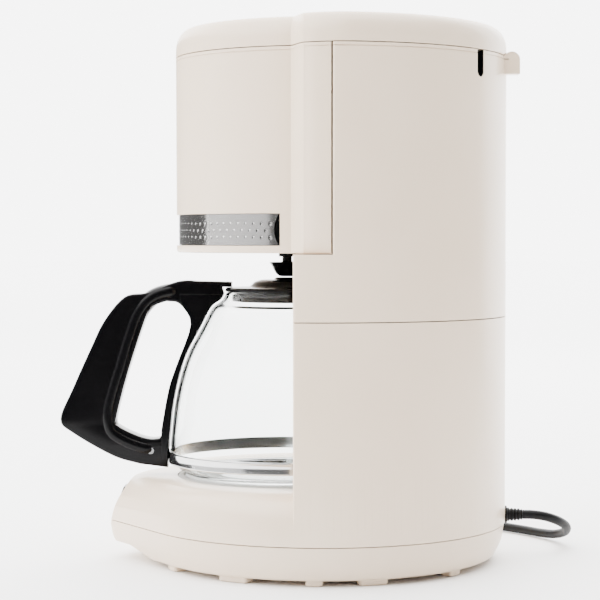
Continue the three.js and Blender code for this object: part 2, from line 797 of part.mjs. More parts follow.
function valveSpring() {
  const wire = 0.6;
  const turns = 4;
  const perTurn = 8;
  const points = [];
  for (let k = 0; k <= turns * perTurn; k++) {
    const angle = (2 * Math.PI * k) / perTurn;
    const rise = (k / (turns * perTurn)) * (SPRING_L - 2 * wire);
    points.push([4.5 * Math.cos(angle), 4.5 * Math.sin(angle), SPRING_LOW + wire + rise]);
  }
  return tube(points, wire, turns * perTurn, 0, 6);
}

function valveCage() {
  const shell = turned(
    [
      [CAGE_R - 1.5, SEAL_Z],
      [CAGE_R, SEAL_Z],
      [CAGE_R, CAGE_ROOF + 1.5],
      [2.6, CAGE_ROOF + 1.5],
      [2.6, CAGE_ROOF],
      [CAGE_R - 1.5, CAGE_ROOF],
      [CAGE_R - 1.5, SEAL_Z],
    ],
    [0, 0],
    24,
  );
  const slot = block(-BIG, BIG, -2.5, 2.5, SEAL_Z + 1, CAGE_ROOF - 3);
  return shell.subtract(slot.add(slot.rotate([0, 0, 90])));
}

// ---- lid
function lid() {
  const bottom = LID_Z + SEAM / 2;
  const outer = new THREE.ExtrudeGeometry(keyhole(), {
    depth: 20,
    bevelThickness: LID_ROUND,
    bevelSize: LID_ROUND_IN,
    bevelOffset: -LID_ROUND_IN,
    bevelSegments: 3,
    curveSegments: 8,
  });
  outer.translate(0, 0, LID_TOP - 20 - LID_ROUND);
  const shell = solid(outer)
    .intersect(block(-BIG, BIG, -BIG, BIG, bottom, BIG))
    .subtract(slab(keyhole(WALL + 2), 0, LID_TOP - WALL - 5, 8))
    .subtract(slab(keyhole(LID_ROUND_IN + WALL), 0, LID_TOP - WALL, 8));
  const half = LID_KNUCKLE_W / 2;
  const knuckle = bar("x", LID_HINGE_R, -half, half, ...LID_HINGE);
  const web = block(-half, half, REAR_Y - 8, LID_HINGE[0], LID_HINGE[1] + 3.2, LID_HINGE[1] + LID_HINGE_R);
  const relief = bar("x", LID_HINGE_R + SEAM, half, half + LID_EAR_W + 2 * FIT, ...LID_HINGE);
  return shell
    .add(joined(knuckle, web))
    .subtract(joined(relief, relief.mirror([1, 0, 0]), bar("x", LID_PIN_R + FIT, -BIG, BIG, ...LID_HINGE, 12)));
}

// ---- jug
// Outside of the glass above the band: share of the widest radius, and share of the height.
const GLASS_SIDE = [
  [1, 0.142],
  [0.988, 0.247],
  [0.964, 0.38],
  [0.919, 0.52],
  [0.848, 0.661],
  [0.734, 0.801],
  [0.642, 0.912],
];

function glassSide(inset) {
  const side = GLASS_SIDE.map(([wide, high]) => [JUG_R * wide - inset, JUG_Z + JUG_H * high]);
  return [...side, [JUG_RIM_R - inset, JUG_RIM]];
}

function jugGlass() {
  const outside = [
    [0, JUG_Z],
    [JUG_FOOT_R, JUG_Z],
    [JUG_R - 6.5, JUG_Z + 3],
    [JUG_R - 2, JUG_Z + 8],
    ...glassSide(0),
  ];
  const inside = [
    [JUG_R - 2 - GLASS, JUG_Z + 9],
    [JUG_R - 6.5 - GLASS, JUG_Z + 5],
    [JUG_FOOT_R - GLASS, JUG_Z + GLASS],
    [0, JUG_Z + GLASS],
  ];
  return turned([...outside, ...glassSide(GLASS).reverse(), ...inside], [0, 0], 28);
}

const BAND_Z = JUG_Z + 7.2;

function jugBand() {
  const low = JUG_R + FIT;
  return turned([
    [low, BAND_Z],
    [low + BAND_THICK, BAND_Z],
    [low + BAND_THICK, BAND_Z + BAND_H],
    [low, BAND_Z + BAND_H],
    [low, BAND_Z],
  ]);
}

// Handle from the side: distance out from the widest glass, and height above the jug's foot.
const GRIP_OUTSIDE = [
  [-16.2, 119.9],
  [-10.3, 120.5],
  [-2, 119.3],
  [14.7, 112.6],
  [28.1, 110.1],
  [40.6, 95.5],
  [48.9, 78.8],
  [60.6, 52.9],
  [HANDLE_TIP, 33.7],
  [59.8, 25],
  [35.5, 11.2],
  [18.8, 6.2],
];
const FINGER_GAP = [
  [2.2, 107.4],
  [-6.1, 105.5],
  [-13.2, 93],
  [-4.5, 68],
  [0.5, 52.9],
  [5.1, 26.2],
  [8.9, 21.9],
  [18.8, 23.3],
  [32.6, 30],
  [33.5, 35.4],
  [26.4, 62.9],
  [15.5, 96.3],
  [11.4, 103.8],
];

function handle() {
  const place = ([out, up]) => new THREE.Vector2(-(JUG_R + out), JUG_Z + up);
  const gap = HANDLE_W * 0.03 + FIT;
  const top = JUG_RIM + 2.9 + FIT;
  const shape = new THREE.Shape();
  shape.moveTo(-(JUG_RIM_R - 4), top);
  shape.lineTo(-(JUG_RIM_R - 4), top + 3.2);
  shape.splineThru(GRIP_OUTSIDE.map(place));
  const foot = -(JUG_R + 2 * FIT + BAND_THICK);
  shape.lineTo(foot, JUG_Z + 4);
  shape.lineTo(foot, BAND_Z + BAND_H + 1);
  glassSide(-gap)
    .slice(1)
    .forEach(([radius, z]) => shape.lineTo(-radius, z));
  shape.lineTo(-(JUG_RIM_R + gap + 1), top);
  const hole = new THREE.Path();
  const edge = FINGER_GAP.map(place);
  hole.moveTo(edge[0].x, edge[0].y);
  hole.splineThru([...edge.slice(1), edge[0]]);
  shape.holes.push(hole);
  const pinHole = bar("x", 1.2, -BIG, BIG, -(JUG_RIM_R + 1.5), top + 1.6, 8);
  const screwHole = bar("x", 2.3, -BIG, BIG, ...SCREW_THROUGH, 10);
  const headRoom = bar("x", 4.1, -BIG, 3 - HANDLE_W / 2, ...SCREW_THROUGH, 12);
  return upright(shape, HANDLE_W, 1, 3).subtract(joined(pinHole, screwHole, headRoom));
}

const SCREW_THROUGH = [-(JUG_R + 12), JUG_Z + 14.5]; // y, z of the clamp screw

function clampScrew() {
  const half = HANDLE_W / 2;
  const head = bar("x", 3.8, 0.8 - half, 2.7 - half, ...SCREW_THROUGH, 12);
  return head.add(bar("x", 2, 2 - half, half - 1, ...SCREW_THROUGH, 10));
}

function jugLid() {
  const seat = JUG_RIM + FIT;
  const top = JUG_RIM + JUG_LID_H;
  const shell = turned([
    [0, top - 3],
    [18, top - 4.2],
    [21, seat + 1],
    [32.4, seat],
    [32.4, seat - 7],
    [34.4, seat - 7],
    [34.4, seat],
    [JUG_RIM_R, seat],
    [JUG_RIM_R + 0.4, seat + 1.2],
    [JUG_RIM_R - 0.4, seat + 2.5],
    [23, seat + 2.9],
    [20.5, top - 2.8],
    [16.5, top - 1.5],
    [8.5, top - 1.5],
    [7, top],
    [0, top],
  ], [0, 0], 24);
  const holes = [0, 1, 2, 3].map((k) => {
    const angle = (k * Math.PI) / 2;
    return drum(2.3, JUG_Z, BIG, [12 * Math.cos(angle), 12 * Math.sin(angle)], 8);
  });
  return shell.subtract(joined(...holes));
}

// ---- cord
const CORD_ROUTE = [
  [0, RELIEF_END_Y + FIT, CORD_Z],
  [0, 154, 25.8],
  [-1.5, 162, 24.4],
  [-6.5, 170, 21.2],
  [-15.5, 176, 17],
  [-27, 179, 12.6],
  [-40, 178.5, 8.4],
  [-54, 174.5, 5],
  [-68, 167.5, 3.6],
  [-82, 158, 3.4],
  [-95, 147, 3.4],
  [-107, 134.5, 3.4],
  [-117.5, 121, 3.4],
  [-126, 106.5, 3.4],
  [-132, 91.5, 3.4],
  [-135.7, 76, 3.4],
  [-137, 60, 3.4],
  [-137.1, 45.2, 3.4],
];
const TAIL_ROUTE = [
  [-206.9, 45.2, 9.1],
  [-206.4, 54, 7.2],
  [-204.3, 63, 4.8],
  [-200, 72, 4.2],
  [-194.5, 77, 5.4],
  [-188.5, 83.5, 7.8],
  [PLUG_AT[0] - 0.6, PLUG_AT[1] - 1.2, PLUG_Z],
];

function strainRelief() {
  const profile = [
    [0, RELIEF_END_Y - 21],
    [RELIEF_R + 1, RELIEF_END_Y - 21],
    [RELIEF_R + 1, REAR_Y - WALL - 2 * FIT],
    [RELIEF_R, REAR_Y - WALL - 2 * FIT],
    [RELIEF_R, REAR_Y + FIT],
    [RELIEF_R + 1.3, REAR_Y + FIT],
    [RELIEF_R + 1.3, REAR_Y + 1.7],
    [RELIEF_R, REAR_Y + 2],
    [CORD_R + 0.7, RELIEF_END_Y],
    [0, RELIEF_END_Y],
  ];
  return turned(profile, [0, 0], 16)
    .rotate([-90, 0, 0])
    .translate([0, 0, CORD_Z]);
}

function cordCoil() {
  const low = COIL_R - COIL_W / 2;
  const high = COIL_R + COIL_W / 2;
  const z0 = 0.4;
  const ring = [
    [low, z0 + 2],
    [low + 2, z0],
    [high - 2, z0],
    [high, z0 + 2],
    [high, z0 + COIL_H - 2],
    [high - 2, z0 + COIL_H],
    [low + 2, z0 + COIL_H],
    [low, z0 + COIL_H - 2],
    [low, z0 + 2],
  ];
  return turned(ring, COIL_AT, 24);
}

const PLUG_L = 36;
const PIN_R = 2.4;
const PIN_APART = 19;

function plug() {
  const outline = new THREE.Shape();
  outline.moveTo(-4, 0);
  outline.lineTo(4, 0);
  outline.lineTo(6.5, 13);
  outline.lineTo(16, 22);
  outline.lineTo(17.5, PLUG_L);
  outline.lineTo(-17.5, PLUG_L);
  outline.lineTo(-16, 22);
  outline.lineTo(-6.5, 13);
  return slab(outline, 0.6, 2 * PLUG_Z - 0.6).translate([...PLUG_AT, 0]);
}

function plugPin(side) {
  const x = PLUG_AT[0] + (side * PIN_APART) / 2;
  const y = PLUG_AT[1] + PLUG_L + FIT;
  return bar("y", PIN_R, y, y + 19, x, PLUG_Z, 10);
}

// ---- the whole machine
function addBase() {
  add("base_tray", baseTray(), CREAM);
  TRAY_SCREWS.forEach((at, k) => add(`tray_screw_${k + 1}`, screw(at), STEEL));
  add("lower_housing", lowerHousing(), CREAM);
  add("switch_body", onSlope(SWITCH_W - 4, SWITCH_L - 1, -11, -4.2), BLACK);
  add("switch_rocker", rocker(), BLACK);
  add("terminal_block", block(-12, 12, 100, 110, FOOT_H + WALL + FIT, FOOT_H + WALL + 12), GREY);
}

function addHeater() {
  add("hot_plate", hotPlate(), STEEL);
  add("plate_seal", plateSeal(), SILICONE);
  add("heater_tube", tube(heaterPath(), HEATER_TUBE_R, 24), ALUMINIUM);
  add("heater_clamp", block(-54, 54, -6, 6, CLAMP_Z - 2, CLAMP_Z), STEEL);
  add("thermostat", drum(THERMOSTAT_R, CLAMP_Z - 9, CLAMP_Z - 2 - FIT, [0, 0], 16), BRASS);
  [-26, 26].forEach((x, k) => add(`thermal_fuse_${k + 1}`, thermalFuse(x), BRASS));
}

function addTank() {
  add("tank_body", tankBody(), CREAM);
  add("tank_strainer", tankStrainer(), GREY);
  add("level_window", levelWindow(FIT), CLEAR);
  add("check_valve", checkValve(), GREY);
  add("inlet_hose", tube(hosePoints(-1, ...OUTLET, CHECK_LOW - FIT), TUBE_R, 11, TUBE_BORE), SILICONE);
  add("outlet_hose", tube(hosePoints(1, 0, RISER_Y, RISER_LOW - FIT), TUBE_R, 11, TUBE_BORE), SILICONE);
  add("riser_tube", riser(), GREY);
  add("spray_arm", sprayArm(), GREY);
  add("spray_head", sprayHead(), GREY);
}

function addFilter() {
  const shelf = HOLDER_Z - SEAM;
  add("holder_shell", holderShell(), CREAM);
  add("steel_trim", steelTrim(), STEEL);
  add("holder_pin_lower", holderPin(shelf - 7.7, HOLDER_Z + 8.5), STEEL);
  add("holder_pin_upper", holderPin(LID_Z - 13.5, LID_Z - SEAM / 2), STEEL);
  add("filter_basket", filterBasket(), BLACK);
  add("valve_cage", valveCage(), BLACK);
  add("valve_spring", valveSpring(), STEEL);
  add("valve_seal", valveSeal(), SILICONE);
  add("drip_valve", dripValve(), BLACK);
}

function addLid() {
  const half = LID_KNUCKLE_W / 2 + LID_EAR_W;
  add("lid_cover", lid(), CREAM);
  add("lid_pin", bar("x", LID_PIN_R, -half, half, ...LID_HINGE, 12), STEEL);
}

function addJug() {
  const half = HANDLE_W / 2 - 1;
  add("jug_glass", jugGlass(), CLEAR);
  add("jug_band", jugBand(), STEEL);
  add("jug_handle", handle(), BLACK);
  add("clamp_screw", clampScrew(), STEEL);
  add("jug_lid", jugLid(), BLACK);
  add("jug_lid_pin", bar("x", 0.9, -half, half, -(JUG_RIM_R + 1.5), JUG_RIM + 2.9 + FIT + 1.6, 8), STEEL);
}

function addCord() {
  add("strain_relief", strainRelief(), RUBBER);
  add("power_cord", tube(CORD_ROUTE, CORD_R, 46), RUBBER);
  add("cord_coil", cordCoil(), RUBBER);
  add("cord_tail", tube(TAIL_ROUTE, CORD_R, 10), RUBBER);
  add("plug", plug(), RUBBER);
  add("plug_pin_left", plugPin(-1), BRASS);
  add("plug_pin_right", plugPin(1), BRASS);
}

addBase();
addHeater();
addTank();
addFilter();
addLid();
addJug();
addCord();

export default coffeeMaker;
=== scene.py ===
import json
import math

import bmesh
import bpy
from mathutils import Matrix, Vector


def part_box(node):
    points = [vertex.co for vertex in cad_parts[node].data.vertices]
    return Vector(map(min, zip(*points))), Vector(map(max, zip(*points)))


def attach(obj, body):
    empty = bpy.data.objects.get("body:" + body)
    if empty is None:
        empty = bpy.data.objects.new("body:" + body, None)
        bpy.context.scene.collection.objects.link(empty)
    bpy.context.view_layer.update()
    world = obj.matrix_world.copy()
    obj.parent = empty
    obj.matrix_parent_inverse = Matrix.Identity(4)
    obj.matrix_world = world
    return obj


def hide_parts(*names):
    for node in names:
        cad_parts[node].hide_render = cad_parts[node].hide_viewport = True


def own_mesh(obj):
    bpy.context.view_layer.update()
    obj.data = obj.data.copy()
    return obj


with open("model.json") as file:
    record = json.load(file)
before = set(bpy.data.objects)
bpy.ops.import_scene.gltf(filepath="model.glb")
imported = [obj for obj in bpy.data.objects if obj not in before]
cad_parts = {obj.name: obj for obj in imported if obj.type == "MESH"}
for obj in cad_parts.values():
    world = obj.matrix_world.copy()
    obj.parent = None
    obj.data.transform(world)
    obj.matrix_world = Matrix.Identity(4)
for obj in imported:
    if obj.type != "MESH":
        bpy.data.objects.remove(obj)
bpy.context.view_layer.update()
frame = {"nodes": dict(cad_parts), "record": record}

MM = 0.001


def box_mm(node):
    low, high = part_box(node)
    return low / MM, high / MM


# ---- sizes taken from the frame
housing_high = box_mm("lower_housing")[1]
tank_low = box_mm("tank_body")[0]
holder_low, holder_high = box_mm("holder_shell")
lid_low, lid_high = box_mm("lid_cover")
tray_high = box_mm("base_tray")[1]
glass_low, glass_high = box_mm("jug_glass")
band_low, band_high = box_mm("jug_band")
plate_high = box_mm("hot_plate")[1]
trim_low, trim_high = box_mm("steel_trim")
valve_low, valve_high = box_mm("drip_valve")
jug_lid_high = box_mm("jug_lid")[1]
relief_low, relief_high = box_mm("strain_relief")
basket_high = box_mm("filter_basket")[1]
head_low, head_high = box_mm("spray_head")
window_low, window_high = box_mm("level_window")
pin_low, pin_high = box_mm("lid_pin")
swing_low, swing_high = box_mm("holder_pin_lower")

BODY_R = housing_high.x
REAR_Y = housing_high.y
BODY_Y = REAR_Y - BODY_R
FRONT_R = BODY_Y - holder_low.y
RIM_Z = holder_high.z
HOLDER_Z = holder_low.z
SEAM_Z = housing_high.z
JUG_R = glass_high.x
JUG_Z = glass_low.z
JUG_RIM = glass_high.z
PLATE_TOP = plate_high.z
TRAY_SEAM = tray_high.z
HINGE = ((pin_low.y + pin_high.y) / 2, (pin_low.z + pin_high.z) / 2)
RISER = [(a + b) / 2 for a, b in zip(*box_mm("riser_tube"))][:2]
RELIEF_Z = (relief_low.z + relief_high.z) / 2
OUTLET = [(a + b) / 2 for a, b in zip(*box_mm("check_valve"))][:2]
PIVOT = ((swing_low.x + swing_high.x) / 2, (swing_low.y + swing_high.y) / 2)

# ---- sizes of the moulded shells
WALL = 3.0
SEAM = 0.6
FIT = 0.3
SPLIT_Y = 26.0
SPLIT_GAP = 1.0
COLUMN_FRONT_Y = tank_low.y
RECESS_R = JUG_R + 7.4
BASE_TOP = PLATE_TOP - 0.5
LID_ROUND = 13.0
LID_ROUND_IN = 9.0
HOLDER_TAPER = 0.4
EDGE = 0.45  # rounding of moulded edges
FAR = 400.0
SWING_HOLE_R = 2.8
HINGE_HOLE_R = 2.1


# ---- materials
def shader(name, **values):
    """A new material, and its nodes, links and Principled shader."""
    made = bpy.data.materials.new(name)
    made.use_nodes = True
    nodes, links = made.node_tree.nodes, made.node_tree.links
    principled = nodes["Principled BSDF"]
    for key, value in values.items():
        principled.inputs[key].default_value = value
    return made, nodes, links, principled


def position(nodes, links, stretch=(1, 1, 1)):
    where = nodes.new("ShaderNodeTexCoord")
    scaled = nodes.new("ShaderNodeMapping")
    scaled.inputs["Scale"].default_value = stretch
    links.new(where.outputs["Object"], scaled.inputs["Vector"])
    return scaled.outputs["Vector"]


def noise(nodes, links, scale, detail=3.0, stretch=(1, 1, 1)):
    made = nodes.new("ShaderNodeTexNoise")
    made.inputs["Scale"].default_value = scale
    made.inputs["Detail"].default_value = detail
    links.new(position(nodes, links, stretch), made.inputs["Vector"])
    return made.outputs["Fac"]


def ramp(nodes, links, factor, stops):
    made = nodes.new("ShaderNodeValToRGB")
    made.color_ramp.elements[0].position = stops[0][0]
    made.color_ramp.elements[0].color = stops[0][1]
    made.color_ramp.elements[1].position = stops[-1][0]
    made.color_ramp.elements[1].color = stops[-1][1]
    for place, colour in stops[1:-1]:
        made.color_ramp.elements.new(place).color = colour
    links.new(factor, made.inputs["Fac"])
    return made.outputs["Color"]


def spread(nodes, links, factor, low, high):
    made = nodes.new("ShaderNodeMapRange")
    made.inputs["To Min"].default_value = low
    made.inputs["To Max"].default_value = high
    links.new(factor, made.inputs["Value"])
    return made.outputs["Result"]


def bump(nodes, links, height, distance, principled, strength=1.0):
    made = nodes.new("ShaderNodeBump")
    made.inputs["Distance"].default_value = distance
    made.inputs["Strength"].default_value = strength
    links.new(height, made.inputs["Height"])
    links.new(made.outputs["Normal"], principled.inputs["Normal"])


def linear(red, green, blue):
    """sRGB from 0 to 255 as a linear colour."""
    channels = [c / 255 for c in (red, green, blue)]
    return tuple(c / 12.92 if c <= 0.04045 else ((c + 0.055) / 1.055) ** 2.4 for c in channels) + (1.0,)


def moulded(name, light, dark, rough, grain, depth, coat=0.0, shine=0.5):
    """Moulded plastic: faint cloudy colour, uneven gloss and a fine spark-eroded grain."""
    made, nodes, links, principled = shader(name)
    principled.inputs["Coat Weight"].default_value = coat
    principled.inputs["Specular IOR Level"].default_value = shine
    principled.inputs["Coat Roughness"].default_value = 0.12
    clouds = noise(nodes, links, 14.0, 4.0)
    links.new(ramp(nodes, links, clouds, [(0.3, dark), (0.7, light)]), principled.inputs["Base Color"])
    gloss = noise(nodes, links, 60.0, 4.0)
    links.new(spread(nodes, links, gloss, rough * 0.85, rough * 1.15), principled.inputs["Roughness"])
    bump(nodes, links, noise(nodes, links, grain, 2.0), depth, principled, 0.6)
    return made


def metal(name, colour, rough, stretch, scale, depth, strength=0.5):
    """Bare metal with fine lines along its drawn or brushed direction."""
    made, nodes, links, principled = shader(name)
    principled.inputs["Metallic"].default_value = 1.0
    lines = noise(nodes, links, scale, 5.0, stretch)
    dark = tuple(c * 0.82 for c in colour[:3]) + (1.0,)
    links.new(ramp(nodes, links, lines, [(0.3, dark), (0.7, colour)]), principled.inputs["Base Color"])
    links.new(spread(nodes, links, lines, rough * 0.75, rough * 1.25), principled.inputs["Roughness"])
    bump(nodes, links, lines, depth, principled, strength)
    return made


def clear(name, tint, rough, ior=1.47):
    made, nodes, links, principled = shader(name)
    principled.inputs["Base Color"].default_value = tint
    principled.inputs["Transmission Weight"].default_value = 1.0
    principled.inputs["IOR"].default_value = ior
    links.new(
        spread(nodes, links, noise(nodes, links, 30.0, 3.0), rough * 0.5, rough * 1.5),
        principled.inputs["Roughness"],
    )
    bump(nodes, links, noise(nodes, links, 18.0, 1.0), 0.0002, principled, 0.25)
    return made


CREAM = moulded("cream_plastic", linear(224, 204, 181), linear(220, 199, 175), 0.3, 2200.0, 0.00003, 0.1)
BLACK = moulded("black_plastic", linear(6, 6, 7), linear(4, 4, 5), 0.2, 1800.0, 0.00001, 0.0, 0.12)
GREY = moulded("inner_plastic", linear(168, 167, 163), linear(156, 155, 151), 0.5, 1500.0, 0.00004)
SILICONE = moulded("silicone", linear(214, 210, 203), linear(204, 200, 192), 0.6, 900.0, 0.00004)
RUBBER = moulded("cord_rubber", linear(10, 10, 11), linear(6, 6, 7), 0.5, 1200.0, 0.00004, 0.0, 0.15)
PLATE = moulded("plate_steel", linear(206, 204, 202), linear(196, 194, 192), 0.35, 1600.0, 0.00003)
BRUSHED = metal("brushed_steel", linear(198, 196, 194), 0.13, (1, 1, 60), 60.0, 0.00001, 0.12)
BRIGHT = metal("bright_steel", linear(222, 222, 222), 0.14, (1, 1, 20), 60.0, 0.00001)
ALUMINIUM = metal("aluminium", linear(182, 182, 180), 0.5, (1, 1, 1), 500.0, 0.00006)
BRASS = metal("brass", linear(205, 170, 96), 0.28, (1, 1, 8), 200.0, 0.00002)
GLASS_LOOK = clear("jug_glass", (0.97, 0.985, 0.98, 1.0), 0.012, 1.2)
WINDOW = clear("window_plastic", (0.9, 0.94, 0.95, 1.0), 0.08, 1.49)


# ---- meshes
def linked(name, data):
    made = bpy.data.objects.new(name, data)
    bpy.context.scene.collection.objects.link(made)
    return made


def evaluated(made):
    """The mesh a piece has once its modifiers or its curve are worked out."""
    bpy.context.view_layer.update()
    return bpy.data.meshes.new_from_object(made.evaluated_get(bpy.context.evaluated_depsgraph_get()))


def piece(name, points, faces):
    """An object of points in millimetres, its faces turned outwards."""
    mesh = bpy.data.meshes.new(name)
    mesh.from_pydata([Vector(p) * MM for p in points], [], faces)
    built = bmesh.new()
    built.from_mesh(mesh)
    bmesh.ops.remove_doubles(built, verts=built.verts, dist=1e-7)
    bmesh.ops.dissolve_degenerate(built, edges=built.edges, dist=1e-8)
    bmesh.ops.recalc_face_normals(built, faces=built.faces)
    built.to_mesh(mesh)
    built.free()
    return linked(name, mesh)


def loft(name, rings, closed=False):
    """A closed surface through rings of equal length, capped unless it closes on itself."""
    count = len(rings[0])
    points = [p for ring in rings for p in ring]
    faces = []
    steps = len(rings) if closed else len(rings) - 1
    for level in range(steps):
        low, high = level * count, (level + 1) % len(rings) * count
        for k in range(count):
            after = (k + 1) % count
            faces.append((low + k, low + after, high + after, high + k))
    if not closed:
        faces.append(tuple(range(count)))
        faces.append(tuple(range((len(rings) - 1) * count, len(rings) * count)))
    return piece(name, points, faces)


def rounded(profile, radius, steps=4, closed=False):
    """The profile with its corners rounded: each becomes a short curve, as far as its sides allow."""
    result = []
    count = len(profile)
    for k, corner in enumerate(profile):
        if not closed and k in (0, count - 1):
            result.append(corner)
            continue
        here = Vector(corner)
        before, after = Vector(profile[k - 1]) - here, Vector(profile[(k + 1) % count]) - here
        reach = min(radius, before.length * 0.45, after.length * 0.45)
        if reach < 1e-4 or abs(before.angle(after) - math.pi) < 0.1:
            result.append(corner)
            continue
        start, end = here + before.normalized() * reach, here + after.normalized() * reach
        for step in range(steps + 1):
            t = step / steps
            result.append(tuple((1 - t) ** 2 * start + 2 * t * (1 - t) * here + t**2 * end))
    return result


def turned(name, profile, round_by=0.0, centre=(0.0, 0.0), sides=96, closed=False):
    """A turned piece about a vertical line; the profile is (radius, z)."""
    if round_by:
        profile = rounded(profile, round_by, closed=closed)
    rings = []
    for radius, z in profile:
        ring = []
        for k in range(sides):
            angle = 2 * math.pi * k / sides
            ring.append((centre[0] + radius * math.sin(angle), centre[1] - radius * math.cos(angle), z))
        rings.append(ring)
    return loft(name, rings, closed)


def slab(name, outline, z0, z1):
    return loft(name, [[(x, y, z) for x, y in outline] for z in (z0, z1)])


def block(name, x0, x1, y0, y1, z0, z1):
    return slab(name, [(x0, y0), (x1, y0), (x1, y1), (x0, y1)], z0, z1)


def drum(name, radius, z0, z1, centre=(0.0, 0.0), sides=96):
    return turned(name, [(radius, z0), (radius, z1)], centre=centre, sides=sides)


def bar(name, axis, radius, low, high, across, z, sides=48, round_by=0.0):
    """A round bar along X or Y, its ends rounded if asked."""
    profile = [(0.0, low), (radius, low), (radius, high), (0.0, high)]
    if round_by:
        profile = rounded(profile, round_by)
    rings = []
    for width, along in profile:
        ring = []
        for k in range(sides):
            angle = 2 * math.pi * k / sides
            side, up = width * math.cos(angle), z + width * math.sin(angle)
            ring.append((along, across + side, up) if axis == "x" else (across + side, along, up))
        rings.append(ring)
    return loft(name, rings)


def turn_about(made, centre, degrees):
    """Turns a piece's mesh about a vertical line."""
    angle = math.radians(degrees)
    for vertex in made.data.vertices:
        x, y = vertex.co.x - centre[0] * MM, vertex.co.y - centre[1] * MM
        vertex.co.x = centre[0] * MM + x * math.cos(angle) - y * math.sin(angle)
        vertex.co.y = centre[1] * MM + x * math.sin(angle) + y * math.cos(angle)
    return made


def combine(made, others, operation):
    """Joins others to a piece, or cuts them from it, and uses them up."""
    for other in others:
        step = made.modifiers.new("step", "BOOLEAN")
        step.operation = operation
        step.solver = "MANIFOLD"
        step.object = other
    mesh = evaluated(made)
    if not mesh.polygons:
        raise RuntimeError(f"{made.name} came out empty")
    made.modifiers.clear()
    made.data = mesh
    for other in others:
        bpy.data.objects.remove(other)
    return made


def join(made, *others):
    return combine(made, others, "UNION")


def cut(made, *others):
    return combine(made, others, "DIFFERENCE")


def keep(made, *others):
    return combine(made, others, "INTERSECT")


def smooth(made, degrees=34.0):
    made.data.polygons.foreach_set("use_smooth", [True] * len(made.data.polygons))
    made.data.set_sharp_from_angle(angle=math.radians(degrees))
    return made


def done(made, material, slot, body, *nodes, edge=0.0, degrees=34.0):
    """Gives a piece its material, rounds its edges, and sets what it rides on and stands for."""
    made.data.materials.clear()
    made.data.materials.append(material)
    smooth(made, degrees)
    if edge:
        bevel = made.modifiers.new("edges", "BEVEL")
        bevel.width = edge * MM
        bevel.segments = 2
        bevel.limit_method = "ANGLE"
        bevel.angle_limit = math.radians(degrees)
        bevel.harden_normals = True
        bevel.use_clamp_overlap = True
    if nodes:
        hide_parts(*nodes)
    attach(made, body)
    return made


# ---- camera, at the side of the machine
CAMERA_AT = (1.157, 0.008, 0.1986)
CAMERA_DOWN = 1.9  # degrees below level
LENS = 111.4


def add_camera():
    lens = bpy.data.cameras.new("camera")
    lens.sensor_width = 36.0
    lens.lens = LENS
    lens.clip_end = 20.0
    camera = linked("camera", lens)
    camera.location = CAMERA_AT
    camera.rotation_euler = (math.radians(90.0 - CAMERA_DOWN), 0.0, math.radians(90.0))
    bpy.context.scene.camera = camera


# ---- cord: the free route, the coil and the tail are one curve
CORD_R = 2.9
CORD_ROUTE = [
    (0, 147.3, 26), (0, 154, 25.8), (-1.5, 162, 24.4), (-6.5, 170, 21.2),
    (-15.5, 176, 17), (-27, 178.75, 12.6), (-40, 178.5, 8.4), (-54, 174.5, 5),
    (-68, 167.5, 3.6), (-82, 158, 3.4), (-95, 147, 3.4), (-107, 134.5, 3.4),
    (-117.5, 121, 3.4), (-126, 106.5, 3.4), (-132, 91.5, 3.4), (-135.7, 76, 3.4),
    (-137, 60, 3.4), (-137.1, 45.2, 3.4),
]
TAIL_ROUTE = [
    (-206.8, 45.2, 9.1), (-206.4, 54, 7.2), (-204.3, 63, 4.8), (-200, 72, 4.2),
    (-194.5, 77, 5.4), (-188.5, 83.5, 7.8), (-186.6, 90.8, 9.3),
]
COIL_AT = (-172.0, 24.0)
COIL_OUTER = 34.75
COIL_INNER = 29.1
COIL_LOW = 3.4
COIL_HIGH = 9.2
COIL_TURNS = 3.5


def ease(t):
    t = min(1.0, max(0.0, t))
    return t * t * (3 - 2 * t)


def coil_points():
    """Two turns on the floor from outside to inside, then back out on top of them."""
    points = []
    steps = int(COIL_TURNS * 24)
    for k in range(steps + 1):
        turn = k / 24
        inward = ease((turn - 0.75) / 0.5) - ease((turn - 2.5) / 0.5)
        radius = COIL_OUTER + (COIL_INNER - COIL_OUTER) * inward
        z = COIL_LOW + (COIL_HIGH - COIL_LOW) * ease((turn - 1.75) / 0.5)
        angle = -2 * math.pi * turn
        points.append((COIL_AT[0] + radius * math.cos(angle), COIL_AT[1] + radius * math.sin(angle), z))
    return points


def catmull(points, steps):
    """A smooth line through points."""
    points = [Vector(p) for p in points]
    points = [2 * points[0] - points[1], *points, 2 * points[-1] - points[-2]]
    line = []
    for a, b, c, d in zip(points, points[1:], points[2:], points[3:]):
        for k in range(steps):
            t = k / steps
            bend, twist = 2 * a - 5 * b + 4 * c - d, 3 * b - a - 3 * c + d
            line.append(0.5 * (2 * b + (c - a) * t + bend * t**2 + twist * t**3))
    return line + [points[-2]]


def curve_piece(name, line, radius, sides=6):
    data = bpy.data.curves.new(name, "CURVE")
    data.dimensions = "3D"
    data.bevel_depth = radius * MM
    data.bevel_resolution = sides
    data.use_fill_caps = True
    spline = data.splines.new("POLY")
    spline.points.add(len(line) - 1)
    for point, place in zip(spline.points, line):
        point.co = (*(Vector(place) * MM), 1.0)
    spline.use_smooth = True
    return linked(name, data)


